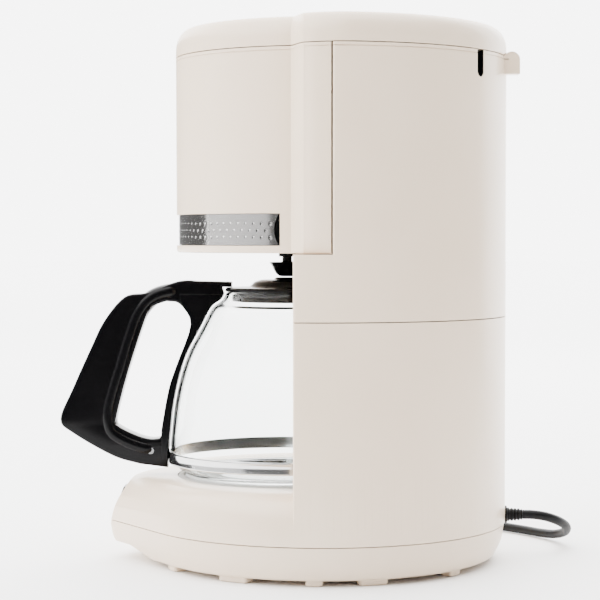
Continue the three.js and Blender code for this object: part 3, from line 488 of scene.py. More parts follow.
def add_strain_relief():
    """Tapered boot with a flange against the housing and grooves along it."""
    end = relief_high.y
    radius = CORD_R + 1.3
    profile = [(0.0, relief_low.y), (radius + 0.9, relief_low.y), (radius + 0.9, REAR_Y - WALL - 0.8)]
    profile += [(radius, REAR_Y - WALL - 0.8), (radius, REAR_Y + 0.3), (radius + 1.3, REAR_Y + 0.3)]
    profile += [(radius + 1.3, REAR_Y + 1.7), (radius, REAR_Y + 2.0)]
    grooves = 4
    pitch = (end - REAR_Y - 3.0) / grooves
    for k in range(grooves):
        y = REAR_Y + 2.2 + k * pitch
        wide = radius - 0.16 * k
        profile += [(wide, y), (wide, y + pitch * 0.55)]
        profile += [(wide - 0.7, y + pitch * 0.62), (wide - 0.7, y + pitch * 0.95)]
    profile += [(CORD_R + 0.6, end - 0.4), (CORD_R + 0.25, end), (0.0, end)]
    profile = rounded(profile, 0.3, 3)
    rings = []
    for width, y in profile:
        angles = [2 * math.pi * k / 40 for k in range(40)]
        rings.append([(width * math.cos(a), y, RELIEF_Z + width * math.sin(a)) for a in angles])
    return done(loft("cord_boot", rings), RUBBER, "cord_rubber", "housing", "strain_relief")


def add_plug():
    """Flat two-pin plug with a waisted grip and a tapered tail."""
    low, high = box_mm("plug")
    centre = (low.x + high.x) / 2
    middle = (low.z + high.z) / 2
    half_tall = (high.z - low.z) / 2
    stations = [(0.0, 3.7, 3.7), (2.0, 4.2, 4.2), (7.0, 4.8, 4.9), (11.0, 5.8, 5.8), (14.5, 8.5, 7.2)]
    stations += [(18.0, 13.2, 8.2), (22.0, 15.6, half_tall), (28.0, 16.4, half_tall), (33.0, 17.3, half_tall)]
    stations += [(35.2, 17.2, half_tall - 0.2), (35.9, 16.6, half_tall - 0.8)]
    rings = []
    for along, wide, tall in stations:
        ring = []
        for k in range(48):
            angle = 2 * math.pi * k / 48
            c, s = math.cos(angle), math.sin(angle)
            power = 0.55 if along > 14 else 1.0
            x = centre + wide * math.copysign(abs(c) ** power, c)
            ring.append((x, low.y + along, middle + tall * math.copysign(abs(s) ** power, s)))
        rings.append(ring)
    body = done(loft("plug_body", rings), RUBBER, "cord_rubber", "housing", "plug")
    pins = []
    for side in ("left", "right"):
        low, high = box_mm(f"plug_pin_{side}")
        pin = bar(f"pin_{side}", "y", 2.4, low.y, high.y, (low.x + high.x) / 2, (low.z + high.z) / 2, 32, 1.2)
        pins.append(done(pin, BRASS, "brass", "housing", f"plug_pin_{side}"))
    return [body, *pins]


def add_cord():
    line = catmull(CORD_ROUTE + coil_points() + TAIL_ROUTE, 4)
    cord = curve_piece("mains_cord", line, CORD_R)
    cord.data.materials.append(RUBBER)
    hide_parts("power_cord", "cord_coil", "cord_tail")
    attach(cord, "housing")
    boot = add_strain_relief()
    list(add_plug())


add_camera()
add_cord()


# ---- outlines, seen from above
# Where the front circle flares out to the body: degrees from the front, and share of the step.
FLARE = [(72, 0), (78, 0), (83, 0.62), (84.5, 0.72), (87.6, 0.83), (92.6, 0.93), (97, 1), (103, 1)]


def polar(radius, degrees):
    angle = math.radians(degrees)
    return radius * math.sin(angle), BODY_Y - radius * math.cos(angle)


def keyhole(inset=0.0):
    """Plan outline of the lid and the filter holder: the front circle, flared out to the body's."""
    flare = [(p.x, min(1.0, max(0.0, p.y))) for p in catmull([(d, s, 0) for d, s in FLARE], 5)]
    sweep = [(d, 0.0) for d in range(0, 72, 3)] + flare + [(d, 1.0) for d in range(106, 180, 3)]
    half = [polar(FRONT_R + share * (BODY_R - FRONT_R) - inset, d) for d, share in sweep]
    return half + [polar(BODY_R - inset, 180)] + [(-x, y) for x, y in reversed(half[1:])]


def arc(x, y, radius, start, end, steps):
    angles = [start + (end - start) * k / steps for k in range(steps + 1)]
    return [(x + radius * math.cos(a), y + radius * math.sin(a)) for a in angles]


def column_outline(inset, front_y):
    """The body's circle behind front_y, round the jug's hollow."""
    outer, inner, y = BODY_R - inset, RECESS_R + inset, front_y + inset
    start, begin = math.asin((y - BODY_Y) / outer), math.asin(y / inner)
    around = arc(0, BODY_Y, outer, start, math.pi - start, 110) + arc(0, 0, inner, math.pi - begin, begin, 80)
    return rounded(around, 3.0, closed=True)


def column(inset, front_y, z0, z1):
    return slab("column", column_outline(inset, front_y), z0, z1)


def front_of(y, z0, z1):
    return block("front", -FAR, FAR, -FAR, y, z0, z1)


def sector(name, inner, outer, half_angle, z0, z1):
    """A ring's front part, half_angle to each side."""
    start, end = math.radians(-90 - half_angle), math.radians(-90 + half_angle)
    outline = arc(0, BODY_Y, outer, start, end, 80) + arc(0, BODY_Y, inner, end, start, 80)
    return slab(name, outline, z0, z1)


def lip_groove():
    """The fine line round the shells just below the lid."""
    outside = slab("lip", keyhole(-3), LIP_Z - 0.25, LIP_Z + 0.25)
    return cut(outside, slab("lip_in", keyhole(0.4), LIP_Z - 1, LIP_Z + 1))


def fine(points, steps=5):
    """A smooth line through flat points."""
    return [(p.x, p.y) for p in catmull([(a, b, 0.0) for a, b in points], steps)]


LID_SEAM = (RIM_Z + lid_low.z) / 2 if lid_low.z > RIM_Z else RIM_Z + SEAM / 2
LID_TOP = lid_high.z
LIP_Z = LID_SEAM - 2.3
FOOT_H = 3.3
CENTRE = (0.0, BODY_Y)
BASE_FRONT_Y = BODY_Y - BODY_R


# ---- base
# The base's front from the side: distance out from the circle, and height below the base's top.
NOSE = [(-14, 0.3), (-6, 0), (3.8, -2.6), (10.2, -10.7)]
NOSE += [(14.5, -19.2), (17.1, -28.2), (18.4, -35), (19, -41.2)]
NOSE_ANGLE = 32.5
NOSE_TIP_R = 12.0
NOSE_BOTTOM = BASE_TOP + NOSE[-1][1]
FEET = [(31, 10), (60, 19), (87, 10), (106, 17), (138, 10)]


def teardrop(inset=0.0, tip_r=NOSE_TIP_R):
    """Plan of the base: the body's circle, drawn out in front to a rounded tip."""
    radius = BODY_R - inset
    middle = BODY_Y - (radius - tip_r) / math.cos(math.radians(NOSE_ANGLE))
    points = [polar(radius, NOSE_ANGLE + (360 - 2 * NOSE_ANGLE) * k / 132) for k in range(133)]
    for k in range(25):
        angle = math.radians(NOSE_ANGLE * (k / 12 - 1))
        points.append((tip_r * math.sin(angle), middle - tip_r * math.cos(angle)))
    return points


def beside_nose(inset):
    """Everything behind the sloping front of the base."""
    front = fine([(BASE_FRONT_Y - out, BASE_TOP + down) for out, down in NOSE], 4)
    side = [(FAR, BASE_TOP + 1)]
    for y, z in front:
        side.append((y + inset, max(min(z, BASE_TOP) - inset, NOSE_BOTTOM + inset)))
    side[0] = (FAR, side[1][1])
    side.append((FAR, NOSE_BOTTOM + inset))
    return loft("beside", [[(x, y, z) for y, z in side] for x in (-FAR, FAR)])


def under_nose(inset):
    """Everything behind the sloping front and above the base's raised front edge."""
    front = fine([(BASE_FRONT_Y - out, BASE_TOP + down) for out, down in NOSE], 4)
    side = [(y + inset, z) for y, z in front if z > NOSE_BOTTOM + inset + 0.5]
    tip_y = BASE_FRONT_Y - NOSE[-1][0] + inset
    side += [(tip_y, NOSE_BOTTOM + inset), (tip_y + 15, NOSE_BOTTOM + inset), (tip_y + 32, FOOT_H + inset)]
    side = [(FAR, side[0][1]), *side, (FAR, FOOT_H + inset)]
    return loft("under", [[(x, y, z) for y, z in side] for x in (-FAR, FAR)])


def base_form(inset, bottom):
    """The base's upper part, rounded over all round its top edge."""
    edge = [(0.0, -18.5), (1.7, -10), (5.5, -4), (11.5, 0)]
    levels = [(0.0, bottom)] + [(less, BASE_TOP - inset + down) for less, down in fine(edge)]
    rings = [[(x, y, z) for x, y in teardrop(inset + less, NOSE_TIP_R - 0.9 * less)] for less, z in levels]
    return keep(loft("form", rings), beside_nose(inset))


def foot(degrees, length):
    """A low pad with rounded corners and edges."""
    rings = []
    for z, less in ((0, 1.3), (0.25, 0.6), (0.8, 0.15), (1.4, 0), (FOOT_H + 2, 0)):
        x, y = length / 2 - less, 4.5 - less
        corners = rounded([(-x, -y), (x, -y), (x, y), (-x, y)], 2.2, 5, closed=True)
        rings.append([(a, b - BODY_R + 13 + BODY_Y, z) for a, b in corners])
    return turn_about(loft("foot", rings), CENTRE, degrees)


def relief_room():
    """Cutters for the strain relief's way through the rear wall."""
    inner = bar("room", "y", CORD_R + 2.6, REAR_Y - 4 * WALL, REAR_Y - WALL - FIT, 0, RELIEF_Z)
    return inner, bar("room", "y", CORD_R + 1.6, REAR_Y - 2 * WALL, REAR_Y + WALL, 0, RELIEF_Z)


def add_tray():
    top = TRAY_SEAM
    edge = fine([(7.0, FOOT_H), (4.0, FOOT_H + 5.7), (2.0, FOOT_H + 10.7), (0.5, top)])
    levels = [(11.0, FOOT_H), (8.2, FOOT_H + 0.1), *edge[1:]]
    tray = loft("tray", [[(x, y, z) for x, y in teardrop(less)] for less, z in levels])
    levels = [(11.0 + WALL, FOOT_H + WALL)] + [(less + WALL, z) for less, z in edge if z > FOOT_H + WALL + 1]
    levels.append((WALL + 0.5, top + 1))
    room = loft("room", [[(x, y, z) for x, y in teardrop(less)] for less, z in levels])
    tray = cut(keep(tray, under_nose(0)), keep(room, under_nose(WALL)))
    for degrees, length in FEET:
        tray = join(tray, foot(degrees, length), foot(-degrees, length))
    screws = [box_mm(f"tray_screw_{k}") for k in (1, 2, 3, 4)]
    for low, high in screws:
        at = ((low.x + high.x) / 2, (low.y + high.y) / 2)
        tray = cut(tray, drum("hole", 2.3, 0, FAR, at, 32), drum("head", 4.3, 0, FOOT_H + 1.5, at, 48))
    tray = cut(tray, *relief_room())
    done(tray, CREAM, "cream_plastic", "housing", "base_tray", edge=0.5)


SWITCH_TILT = 63.0
ROCKER_TILT = 5.0
SWITCH_HALF = (8.0, 6.5)
SWITCH_AT = (BASE_FRONT_Y - 10.6, BASE_TOP - 13.5)


def tilt(made, degrees):
    """Moves a piece made at the origin onto the nose's front slope."""
    angle = math.radians(degrees)
    for vertex in made.data.vertices:
        y, z = vertex.co.y, vertex.co.z
        vertex.co.y = SWITCH_AT[0] * MM + y * math.cos(angle) - z * math.sin(angle)
        vertex.co.z = SWITCH_AT[1] * MM + y * math.sin(angle) + z * math.cos(angle)
    return made


def on_slope(name, wide, long, low, high, turn=0.0):
    """A rounded block on the slope, low and high along its outward normal."""
    corner = 1.2
    outline = rounded([(-wide, -long), (wide, -long), (wide, long), (-wide, long)], corner, 5, closed=True)
    return tilt(slab(name, outline, low, high), SWITCH_TILT + turn)


def add_housing():
    bottom, top = TRAY_SEAM + SEAM, SEAM_Z
    shell = join(base_form(0, bottom), column(0, COLUMN_FRONT_Y, bottom, top))
    inner = join(base_form(WALL, bottom - 5), column(WALL, COLUMN_FRONT_Y, bottom - 1, top - WALL))
    shell = cut(shell, inner)
    seal = box_mm("plate_seal")[1].x + FIT
    shell = cut(
        shell,
        drum("plate_hole", seal, BASE_TOP - 2 * WALL, BASE_TOP + 1),
        drum("riser_hole", 7, top - 5, top + 1, RISER, 48),
        drum("outlet_hole", 7, top - 5, top + 1, OUTLET, 48),
        *relief_room(),
        on_slope("switch_hole", SWITCH_HALF[0] + FIT, SWITCH_HALF[1] + FIT, -8, 8),
    )
    done(shell, CREAM, "cream_plastic", "housing", "lower_housing", edge=EDGE)


def add_switch():
    """Rocker with a shallow hollow across it."""
    key = on_slope("rocker", *SWITCH_HALF, -3, 0.9, ROCKER_TILT)
    dip = bar("dip", "x", 14.0, -SWITCH_HALF[0] + 1.5, SWITCH_HALF[0] - 1.5, 0, 14.35, 96)
    tilt(dip, SWITCH_TILT + ROCKER_TILT)
    done(cut(key, dip), BLACK, "black_plastic", "rocker", "switch_rocker", edge=0.35)


# ---- hot plate
def add_plate():
    radius = plate_high.x
    low = PLATE_TOP - 6
    profile = [(0, PLATE_TOP - 1.5), (radius - 1.5, PLATE_TOP - 1.5), (radius - 1.5, low), (radius, low)]
    profile += [(radius, PLATE_TOP - 1.2), (radius - 1.2, PLATE_TOP), (radius - 6, PLATE_TOP)]
    profile += [(radius - 6.6, PLATE_TOP - 0.5), (0, PLATE_TOP - 0.5)]
    plate = turned("warming_plate", profile, 0.5, sides=144)
    done(plate, PLATE, "plate_steel", "housing", "hot_plate")
    low, high = plate_high.x + FIT, box_mm("plate_seal")[1].x
    profile = [(low, BASE_TOP - 4), (high, BASE_TOP - 4), (high, BASE_TOP - 0.3), (low + 1.6, BASE_TOP + 0.4)]
    profile += [(low + 0.4, BASE_TOP + 0.4), (low, BASE_TOP + 0.1)]
    seal = turned("plate_ring", profile, 0.4, sides=144, closed=True)
    done(seal, SILICONE, "silicone", "housing", "plate_seal")


# ---- tank
OVERFLOW_ANGLE = -36.0
OVERFLOW_HALF = 3.6
OVERFLOW_DEEP = 12.5
WINDOW_ANGLE = -105.0
HINGE_R = 5.0
KNUCKLE_HALF = 20.0
EAR_W = 11.0
EAR_DROP = 8.5
EAR_DROP_LEFT = 3.1
PIN_HALF = KNUCKLE_HALF + EAR_W - 1.5
HOLDER_KNUCKLE_R = 7.4
SPLIT_REAR = SPLIT_Y + SPLIT_GAP / 2
SPLIT_FRONT = SPLIT_Y - SPLIT_GAP / 2
SHELF = HOLDER_Z - SEAM


def overflow_cut():
    reach, low = 2 * WALL + 4, LID_SEAM - OVERFLOW_DEEP
    y0, y1 = REAR_Y - reach, REAR_Y + 2
    slot = block("slot", -OVERFLOW_HALF, OVERFLOW_HALF, y0, y1, low, LID_SEAM + 5)
    return turn_about(join(slot, bar("slot_end", "y", OVERFLOW_HALF, y0, y1, 0, low)), CENTRE, OVERFLOW_ANGLE)


def window_block(clear, proud):
    z0, z1 = window_low.z - FIT + clear, window_high.z + FIT - clear
    front, back = BASE_FRONT_Y + 0.4 - proud, BASE_FRONT_Y + WALL + 1
    half = 4.0 - clear
    corners = [(-half, z0), (half, z0), (half, z1), (-half, z1)]
    ends = [[(x, y, z) for x, z in rounded(corners, 3.4, 6, closed=True)] for y in (front, back)]
    return turn_about(loft("window", ends), CENTRE, WINDOW_ANGLE)


def lid_ear(side):
    inner, outer = side * (KNUCKLE_HALF + FIT), side * (KNUCKLE_HALF + EAR_W + FIT)
    x0, x1 = min(inner, outer), max(inner, outer)
    y, z = HINGE
    web = block("web", x0, x1, REAR_Y - 12, y, z, RIM_Z)
    low = z - (EAR_DROP if side > 0 else EAR_DROP_LEFT)
    drop = block("drop", x0, x1, REAR_Y - 12, y + HINGE_R, low, z)
    return join(bar("ear", "x", HINGE_R, x0, x1, y, z, 64), web, drop)


def add_hinge_pin():
    """Pin through the lid's knuckle, blind in both ears."""
    pin = bar("hinge_pin", "x", pin_high.z - HINGE[1], FIT - PIN_HALF, PIN_HALF - FIT, *HINGE, 32, 0.4)
    done(pin, BRIGHT, "bright_steel", "housing", "lid_pin")


def add_slot_shade_sleeve():
    """Black sleeve through the overflow slot, open inwards: painted shade, a dark piece standing in for the
    deep shade inside the slot.
    """
    low, y0, y1 = LID_SEAM - OVERFLOW_DEEP, REAR_Y - WALL - 6, REAR_Y - 0.3
    top = RIM_Z - 0.2
    outer = join(
        block("shade_sleeve", 0.1 - OVERFLOW_HALF, OVERFLOW_HALF - 0.1, y0, y1, low, top),
        bar("end", "y", OVERFLOW_HALF - 0.1, y0, y1, 0, low, 48),
    )
    hollow = OVERFLOW_HALF - 0.7
    inner = join(
        block("bore", -hollow, hollow, y0 - 1, y1 + 1, low, top + 1),
        bar("end", "y", hollow, y0 - 1, y1 + 1, 0, low, 48),
    )
    # The sleeve is black to paint the shade inside the slot.
    done(turn_about(cut(outer, inner), CENTRE, OVERFLOW_ANGLE), BLACK, "black_plastic", "housing")


def add_tank():
    bottom, top = SEAM_Z + SEAM, RIM_Z
    x, y = PIVOT
    ear = block("ear", -FAR, x + 6, y - 6, SPLIT_Y + 4, LID_SEAM - 5.5, top)
    ear = keep(ear, slab("plan", keyhole(0.6), LID_SEAM - 8, LID_SEAM))
    arm_z = (head_low.z + 7.5 + head_high.z - 6) / 2
    shell = join(
        column(0, COLUMN_FRONT_Y, bottom, SHELF),
        column(0, SPLIT_REAR, bottom, top),
        ear,
        lid_ear(1),
        lid_ear(-1),
        drum("spout", 5, bottom - 8, bottom + 1, OUTLET, 48),
    )
    pocket = column(WALL, COLUMN_FRONT_Y, bottom - 1, SHELF - WALL)
    pocket = cut(pocket, block("rear", -FAR, FAR, SPLIT_REAR, FAR, 0, FAR))
    shell = cut(
        shell,
        pocket,
        column(WALL, SPLIT_REAR, bottom + WALL, top + 1),
        overflow_cut(),
        window_block(0, 3),
        block("notch", -8, 8, RECESS_R - 6, RECESS_R + WALL + 6, arm_z - 8, FAR),
        drum("riser_hole", 5.3, bottom - 1, bottom + WALL + 1, RISER, 48),
        drum("outlet_hole", 3.2, bottom - 9, bottom + WALL + 1, OUTLET, 48),
        bar("knuckle_room", "x", HINGE_R + SEAM, -KNUCKLE_HALF - FIT, KNUCKLE_HALF + FIT, *HINGE, 64),
        bar("pin_hole", "x", HINGE_HOLE_R, -PIN_HALF, PIN_HALF, *HINGE, 32),
        drum("swing_hole", SWING_HOLE_R, SHELF - 8, FAR, PIVOT, 32),
        lip_groove(),
    )
    done(shell, CREAM, "cream_plastic", "housing", "tank_body", edge=EDGE)
    done(window_block(FIT, 0), WINDOW, "window_plastic", "housing", "level_window", edge=0.3)


# ---- filter holder
CUP_R = basket_high.x + 0.5
CUP_RIM = basket_high.z - 2.2
HOLDER_FLOOR = HOLDER_Z + WALL
TRIM_HALF_ANGLE = 73.2
ROW_STEP = 4.0
DIMPLE_PITCH = 5.5
DIMPLE_R = 1.05
TRIM_BITE = 1.9
TRIM_SUNK = 1.3  # below the holder's face
TRIM_THICK = 1.1
GROOVE_DEEP = 3.2
DIMPLE_DEEP = 0.24


def taper(z):
    """How far the holder's side lies inside the lid's outline."""
    return HOLDER_TAPER * (RIM_Z - z) / (RIM_Z - HOLDER_Z)


def add_holder():
    top = RIM_Z
    levels = [(HOLDER_Z, 1.2), (HOLDER_Z + 0.35, 0.45), (HOLDER_Z + 1.2, 0.0)]
    levels += [(HOLDER_Z + 60, 0.0), (top, 0.0)]
    rings = [[(x, y, z) for x, y in keyhole(taper(z) + less)] for z, less in levels]
    shell = keep(loft("holder", rings), front_of(SPLIT_FRONT, 0, FAR))
    shell = cut(shell, block("corner", -FAR, PIVOT[0], PIVOT[1], FAR, 0, FAR))
    shell = join(
        shell,
        drum("knuckle", HOLDER_KNUCKLE_R, HOLDER_Z, top, PIVOT, 64),
        drum("cup", CUP_R, HOLDER_Z, CUP_RIM),
    )
    pockets = keep(
        slab("pockets", keyhole(WALL + HOLDER_TAPER), HOLDER_FLOOR, top + 1),
        front_of(SPLIT_FRONT - WALL, 0, FAR),
    )
    pockets = cut(
        pockets,
        drum("cup", CUP_R, 0, CUP_RIM),
        drum("knuckle", HOLDER_KNUCKLE_R, 0, FAR, PIVOT, 64),
    )
    z0, z1 = trim_low.z - FIT, trim_high.z + FIT
    shell = cut(
        shell,
        pockets,
        drum("above_cup", CUP_R, CUP_RIM, FAR),
        drum("cup_bore", CUP_R - WALL + 0.5, HOLDER_FLOOR, FAR),
        sector("groove", FRONT_R - GROOVE_DEEP, FRONT_R + 2, TRIM_HALF_ANGLE + 0.6, z0, z1),
        drum("spigot_hole", 5.5, HOLDER_Z - 1, HOLDER_FLOOR + 1, sides=48),
        drum("pin_low", SWING_HOLE_R, HOLDER_Z - 1, HOLDER_Z + 9, PIVOT, 32),
        drum("pin_high", SWING_HOLE_R, LID_SEAM - 14, FAR, PIVOT, 32),
        drum("ear_room", 18, LID_SEAM - 6, FAR, PIVOT, 64),
        lip_groove(),
    )
    done(shell, CREAM, "cream_plastic", "filter_holder", "holder_shell", edge=EDGE)


def add_trim():
    """Brushed band with three rows of dimples and hollowed ends, over a black sheet of painted shade in the
    groove behind it.
    """
    z0, z1 = trim_low.z, trim_high.z
    behind = FRONT_R - GROOVE_DEEP + 0.05
    # Thin black sheet at the bottom of the groove: painted shade, seen dark where the band's hollowed ends
    # leave the groove open.
    groove_shade_sheet = sector("groove_shade_sheet", behind, behind + 0.2, TRIM_HALF_ANGLE + 0.5, z0, z1)
    done(groove_shade_sheet, BLACK, "black_plastic", "filter_holder")
    radius = FRONT_R
    middle = (z0 + z1) / 2 - 0.7
    across = int(2 * math.radians(TRIM_HALF_ANGLE) * radius / 0.4)
    up = 46
    inner, outer = [], []
    for j in range(up + 1):
        z = z0 + (z1 - z0) * j / up
        face = radius - taper(z) - TRIM_SUNK
        limit = TRIM_HALF_ANGLE - TRIM_BITE * (1 - (2 * j / up - 1) ** 2)
        for i in range(across + 1):
            degrees = limit * (2 * i / across - 1)
            along = math.radians(degrees) * radius
            deep = 0.0
            for row in (-1, 0, 1):
                shift = DIMPLE_PITCH / 2 if row == 0 else 0.0
                near = round((along - shift) / DIMPLE_PITCH) * DIMPLE_PITCH + shift
                away = math.hypot(along - near, z - middle - row * ROW_STEP) / DIMPLE_R
                if away < 1:
                    deep = DIMPLE_DEEP * (1 - away**2) ** 1.5
            x, y = polar(face - deep, degrees)
            outer.append((x, y, z))
            x, y = polar(face - TRIM_THICK, degrees)
            inner.append((x, y, z))
    points = outer + inner
    wide, half = across + 1, len(outer)
    faces = []
    for j in range(up):
        for i in range(across):
            a = j * wide + i
            b = a + half
            faces += [(a, a + 1, a + wide + 1, a + wide), (b, b + wide, b + wide + 1, b + 1)]
    for i in range(across):
        a, b = i, up * wide + i
        faces += [(a, a + half, a + half + 1, a + 1), (b, b + 1, b + half + 1, b + half)]
    for j in range(up):
        a, b = j * wide, j * wide + across
        faces += [(a, a + wide, a + half + wide, a + half), (b, b + half, b + half + wide, b + wide)]
    band = piece("trim_band", points, faces)
    done(band, BRUSHED, "brushed_steel", "filter_holder", "steel_trim", degrees=50)


# ---- lid
def add_lid():
    bottom = lid_low.z if lid_low.z > RIM_Z else LID_SEAM + SEAM / 2
    shoulder = LID_TOP - LID_ROUND
    levels = [(LID_TOP - WALL, LID_ROUND_IN + WALL), (LID_TOP - WALL - 5, LID_ROUND_IN + WALL)]
    levels += [(LID_TOP - WALL - 5, WALL + 2), (bottom, WALL + 2), (bottom, 0.0), (shoulder, 0.0)]
    levels += [
        (shoulder + LID_ROUND * math.sin(t), LID_ROUND_IN * (1 - math.cos(t)))
        for t in (math.pi / 2 * k / 12 for k in range(1, 13))
    ]
    rings = [[(x, y, z) for x, y in keyhole(inset)] for z, inset in levels]
    y, z = HINGE
    shell = join(
        loft("lid", rings),
        bar("knuckle", "x", HINGE_R, -KNUCKLE_HALF, KNUCKLE_HALF, y, z, 64),
        block("web", -KNUCKLE_HALF, KNUCKLE_HALF, REAR_Y - 8, y, z + 3.2, z + HINGE_R),
    )
    end = KNUCKLE_HALF + EAR_W + 2 * FIT
    shell = cut(
        shell,
        bar("room", "x", HINGE_R + SEAM, KNUCKLE_HALF, end, y, z, 64),
        bar("room", "x", HINGE_R + SEAM, -end, -KNUCKLE_HALF, y, z, 64),
        bar("pin_hole", "x", HINGE_HOLE_R, -FAR, FAR, y, z, 32),
    )
    done(shell, CREAM, "cream_plastic", "lid", "lid_cover", edge=EDGE)


# ---- jug
JUG_H = JUG_RIM - JUG_Z
JUG_RIM_R = 38.3
GLASS = 2.2
# Side of the glass, as shares of its width and height.
GLASS_SIDE = [(1, 0.142), (0.988, 0.247), (0.964, 0.38), (0.919, 0.52)]
GLASS_SIDE += [(0.848, 0.661), (0.734, 0.801), (0.642, 0.912)]


def glass_side():
    """Outside of the glass from its foot to its rim."""
    foot = [(60.0, JUG_Z), (66.1, JUG_Z + 2.6), (70.6, JUG_Z + 8)]
    side = [(JUG_R * wide, JUG_Z + JUG_H * high) for wide, high in GLASS_SIDE]
    neck = [(JUG_RIM_R + 2.6, JUG_RIM - 5.5), (JUG_RIM_R, JUG_RIM - 1.5)]
    return fine([*foot, *side, *neck], 6)


def offset(line, by):
    """A flat line moved to the left of its direction."""
    moved = []
    for k, point in enumerate(line):
        before, after = Vector(line[max(k - 1, 0)]), Vector(line[min(k + 1, len(line) - 1)])
        along = (after - before).normalized()
        moved.append((point[0] - along.y * by, point[1] + along.x * by))
    return moved


def add_jug():
    outside = glass_side()
    inside = [(r, max(z, JUG_Z + GLASS)) for r, z in offset(outside, GLASS) if r > 1]
    lip = [(JUG_RIM_R - less, JUG_RIM - down) for less, down in ((0.4, 0.5), (1.1, 0.1), (1.8, 0.5))]
    profile = [(0, JUG_Z + 1.0), (50, JUG_Z + 0.6), (54, JUG_Z), *outside, *lip, *reversed(inside)]
    profile.append((0, JUG_Z + GLASS + 0.8))
    done(turned("jug_shell", profile, sides=144), GLASS_LOOK, "jug_glass", "jug", "jug_glass", degrees=40)
    low, high = band_low.z, band_high.z
    inner, outer = JUG_R + FIT, band_high.x
    edge = [(0.25, 0.0), (0.0, 0.5), (0.0, 1.0), (0.3, 1.5)]
    hoop = [(inner, low)] + [(outer - less, low + up) for less, up in edge]
    hoop += [(outer - less, high - up) for less, up in reversed(edge)] + [(inner, high)]
    hoop = turned("jug_hoop", hoop, sides=144, closed=True)
    done(hoop, BRIGHT, "bright_steel", "jug", "jug_band", degrees=50)


# Handle from the side: distance out from the widest glass, and height above the jug's foot.
GRIP_OUTSIDE = [(-16.2, 119.9), (-10.3, 120.3), (-2, 118.9), (14.7, 112.6), (28.1, 110.1)]
GRIP_OUTSIDE += [(40.6, 95.5), (48.9, 78.8), (60.6, 52.9), (68.2, 33.9), (59.8, 25), (35.5, 11.2)]
GRIP_OUTSIDE += [(18.8, 6.2)]
FINGER_GAP = [(2.2, 107.4), (-6.1, 105.5), (-13.2, 93), (-4.5, 68), (0.5, 52.9), (5.1, 26.2), (8.9, 21.9)]
FINGER_GAP += [(18.8, 23.3), (32.6, 30), (33.5, 35.4), (26.4, 62.9), (15.5, 96.3), (11.4, 103.8)]
GRIP_LOOP = [(-14, 111), (-6, 112.6), (2, 112.8), (12.5, 108.5), (20.4, 98), (26.2, 82)]
GRIP_LOOP += [(31, 66), (35.6, 51), (38.6, 38), (36.8, 26.5), (28, 20.3), (18, 16.6), (8, 14.6), (2, 13.8)]
STRAP_OUT = [(5.6, 24), (5.1, 30), (0.9, 52.9), (-4.1, 68), (-12.8, 93), (-7, 105.5), (-6, 112)]


def from_side(pairs):
    return [(-(JUG_R + out), JUG_Z + up) for out, up in pairs]


def flat_shape(name, outline, holes, half, round_by):
    """A filled outline in the YZ plane, half wide to each side, its edges rounded."""
    data = bpy.data.curves.new(name, "CURVE")
    data.dimensions = "2D"
    data.fill_mode = "BOTH"
    data.extrude = (half - round_by) * MM
    data.bevel_depth = round_by * MM
    data.bevel_resolution = 3
    data.offset = -round_by * MM
    for line in [outline, *holes]:
        spline = data.splines.new("POLY")
        spline.points.add(len(line) - 1)
        for point, (y, z) in zip(spline.points, line):
            point.co = (y * MM, z * MM, 0.0, 1.0)
        spline.use_cyclic_u = True
    flat = linked(name, data)
    mesh = evaluated(flat)
    for vertex in mesh.vertices:
        y, z, x = vertex.co
        vertex.co = (x, y, z)
    bpy.data.objects.remove(flat)
    built = bmesh.new()
    built.from_mesh(mesh)
    bmesh.ops.remove_doubles(built, verts=built.verts, dist=1e-6)
    bmesh.ops.recalc_face_normals(built, faces=built.faces)
    built.to_mesh(mesh)
    built.free()
    return linked(name, mesh)


def swept(name, line, tall, wide):
    """A bar of oval section along a line in the YZ plane: tall in the plane, wide across it."""
    rings = []
    for k, point in enumerate(line):
        before, after = Vector(line[max(k - 1, 0)]), Vector(line[min(k + 1, len(line) - 1)])
        along = (after - before).normalized()
        end = min(k, len(line) - 1 - k)
        shrink = min(1.0, 0.4 + 0.06 * end)
        ring = []
        for step in range(40):
            angle = 2 * math.pi * step / 40
            c, s = math.cos(angle), math.sin(angle)
            across = shrink * tall * math.copysign(abs(c) ** 0.8, c)
            x = shrink * wide * math.copysign(abs(s) ** 0.8, s)
            ring.append((x, point[0] - along.y * across, point[1] + along.x * across))
        rings.append(ring)
    return loft(name, rings)


def add_handle():
    top = JUG_RIM + 3.2
    rim_y = -(JUG_RIM_R - 4)
    foot_y = -(band_high.x + FIT)
    glass = offset(glass_side(), -0.9)
    glass = [(-r, z) for r, z in glass if band_high.z + 1 < z < JUG_RIM - 1]
    edge = fine(from_side(GRIP_OUTSIDE), 5)
    over_band = (foot_y, band_high.z + 1)
    outline = [(rim_y, top), (rim_y, top + 3.2), *edge, (foot_y, JUG_Z + 4), over_band, *glass]
    outline.append((-(JUG_RIM_R + 2), top))
    gap = fine(from_side([*FINGER_GAP, FINGER_GAP[0]]), 5)[:-1]
    half = box_mm("jug_handle")[1].x
    web = flat_shape("handle_web", outline, [gap], half - 1.2, 1.3)
    done(web, BLACK, "black_plastic", "jug", "jug_handle", degrees=40)
    loop = swept("handle_loop", fine(from_side(GRIP_LOOP), 6), 5.2, half)
    done(loop, BLACK, "black_plastic", "jug", degrees=40)
    low, high = box_mm("jug_lid_pin")
    middle, radius = (low + high) / 2, (high.z - low.z) / 2
    pin = bar("jug_pin", "x", radius, 2 - half, half - 2, middle.y, middle.z, 32, 0.3)
    done(pin, BRIGHT, "bright_steel", "jug", "jug_lid_pin")
    strap_out = fine(from_side(STRAP_OUT), 4)
    low = [(foot_y, JUG_Z + 8), (strap_out[0][0], JUG_Z + 8)]
    outline = [*low, *strap_out, *reversed(glass), over_band]
    strap = flat_shape("handle_strap", outline, [], half - 0.9, 0.6)
    done(strap, BLACK, "black_plastic", "jug", degrees=40)


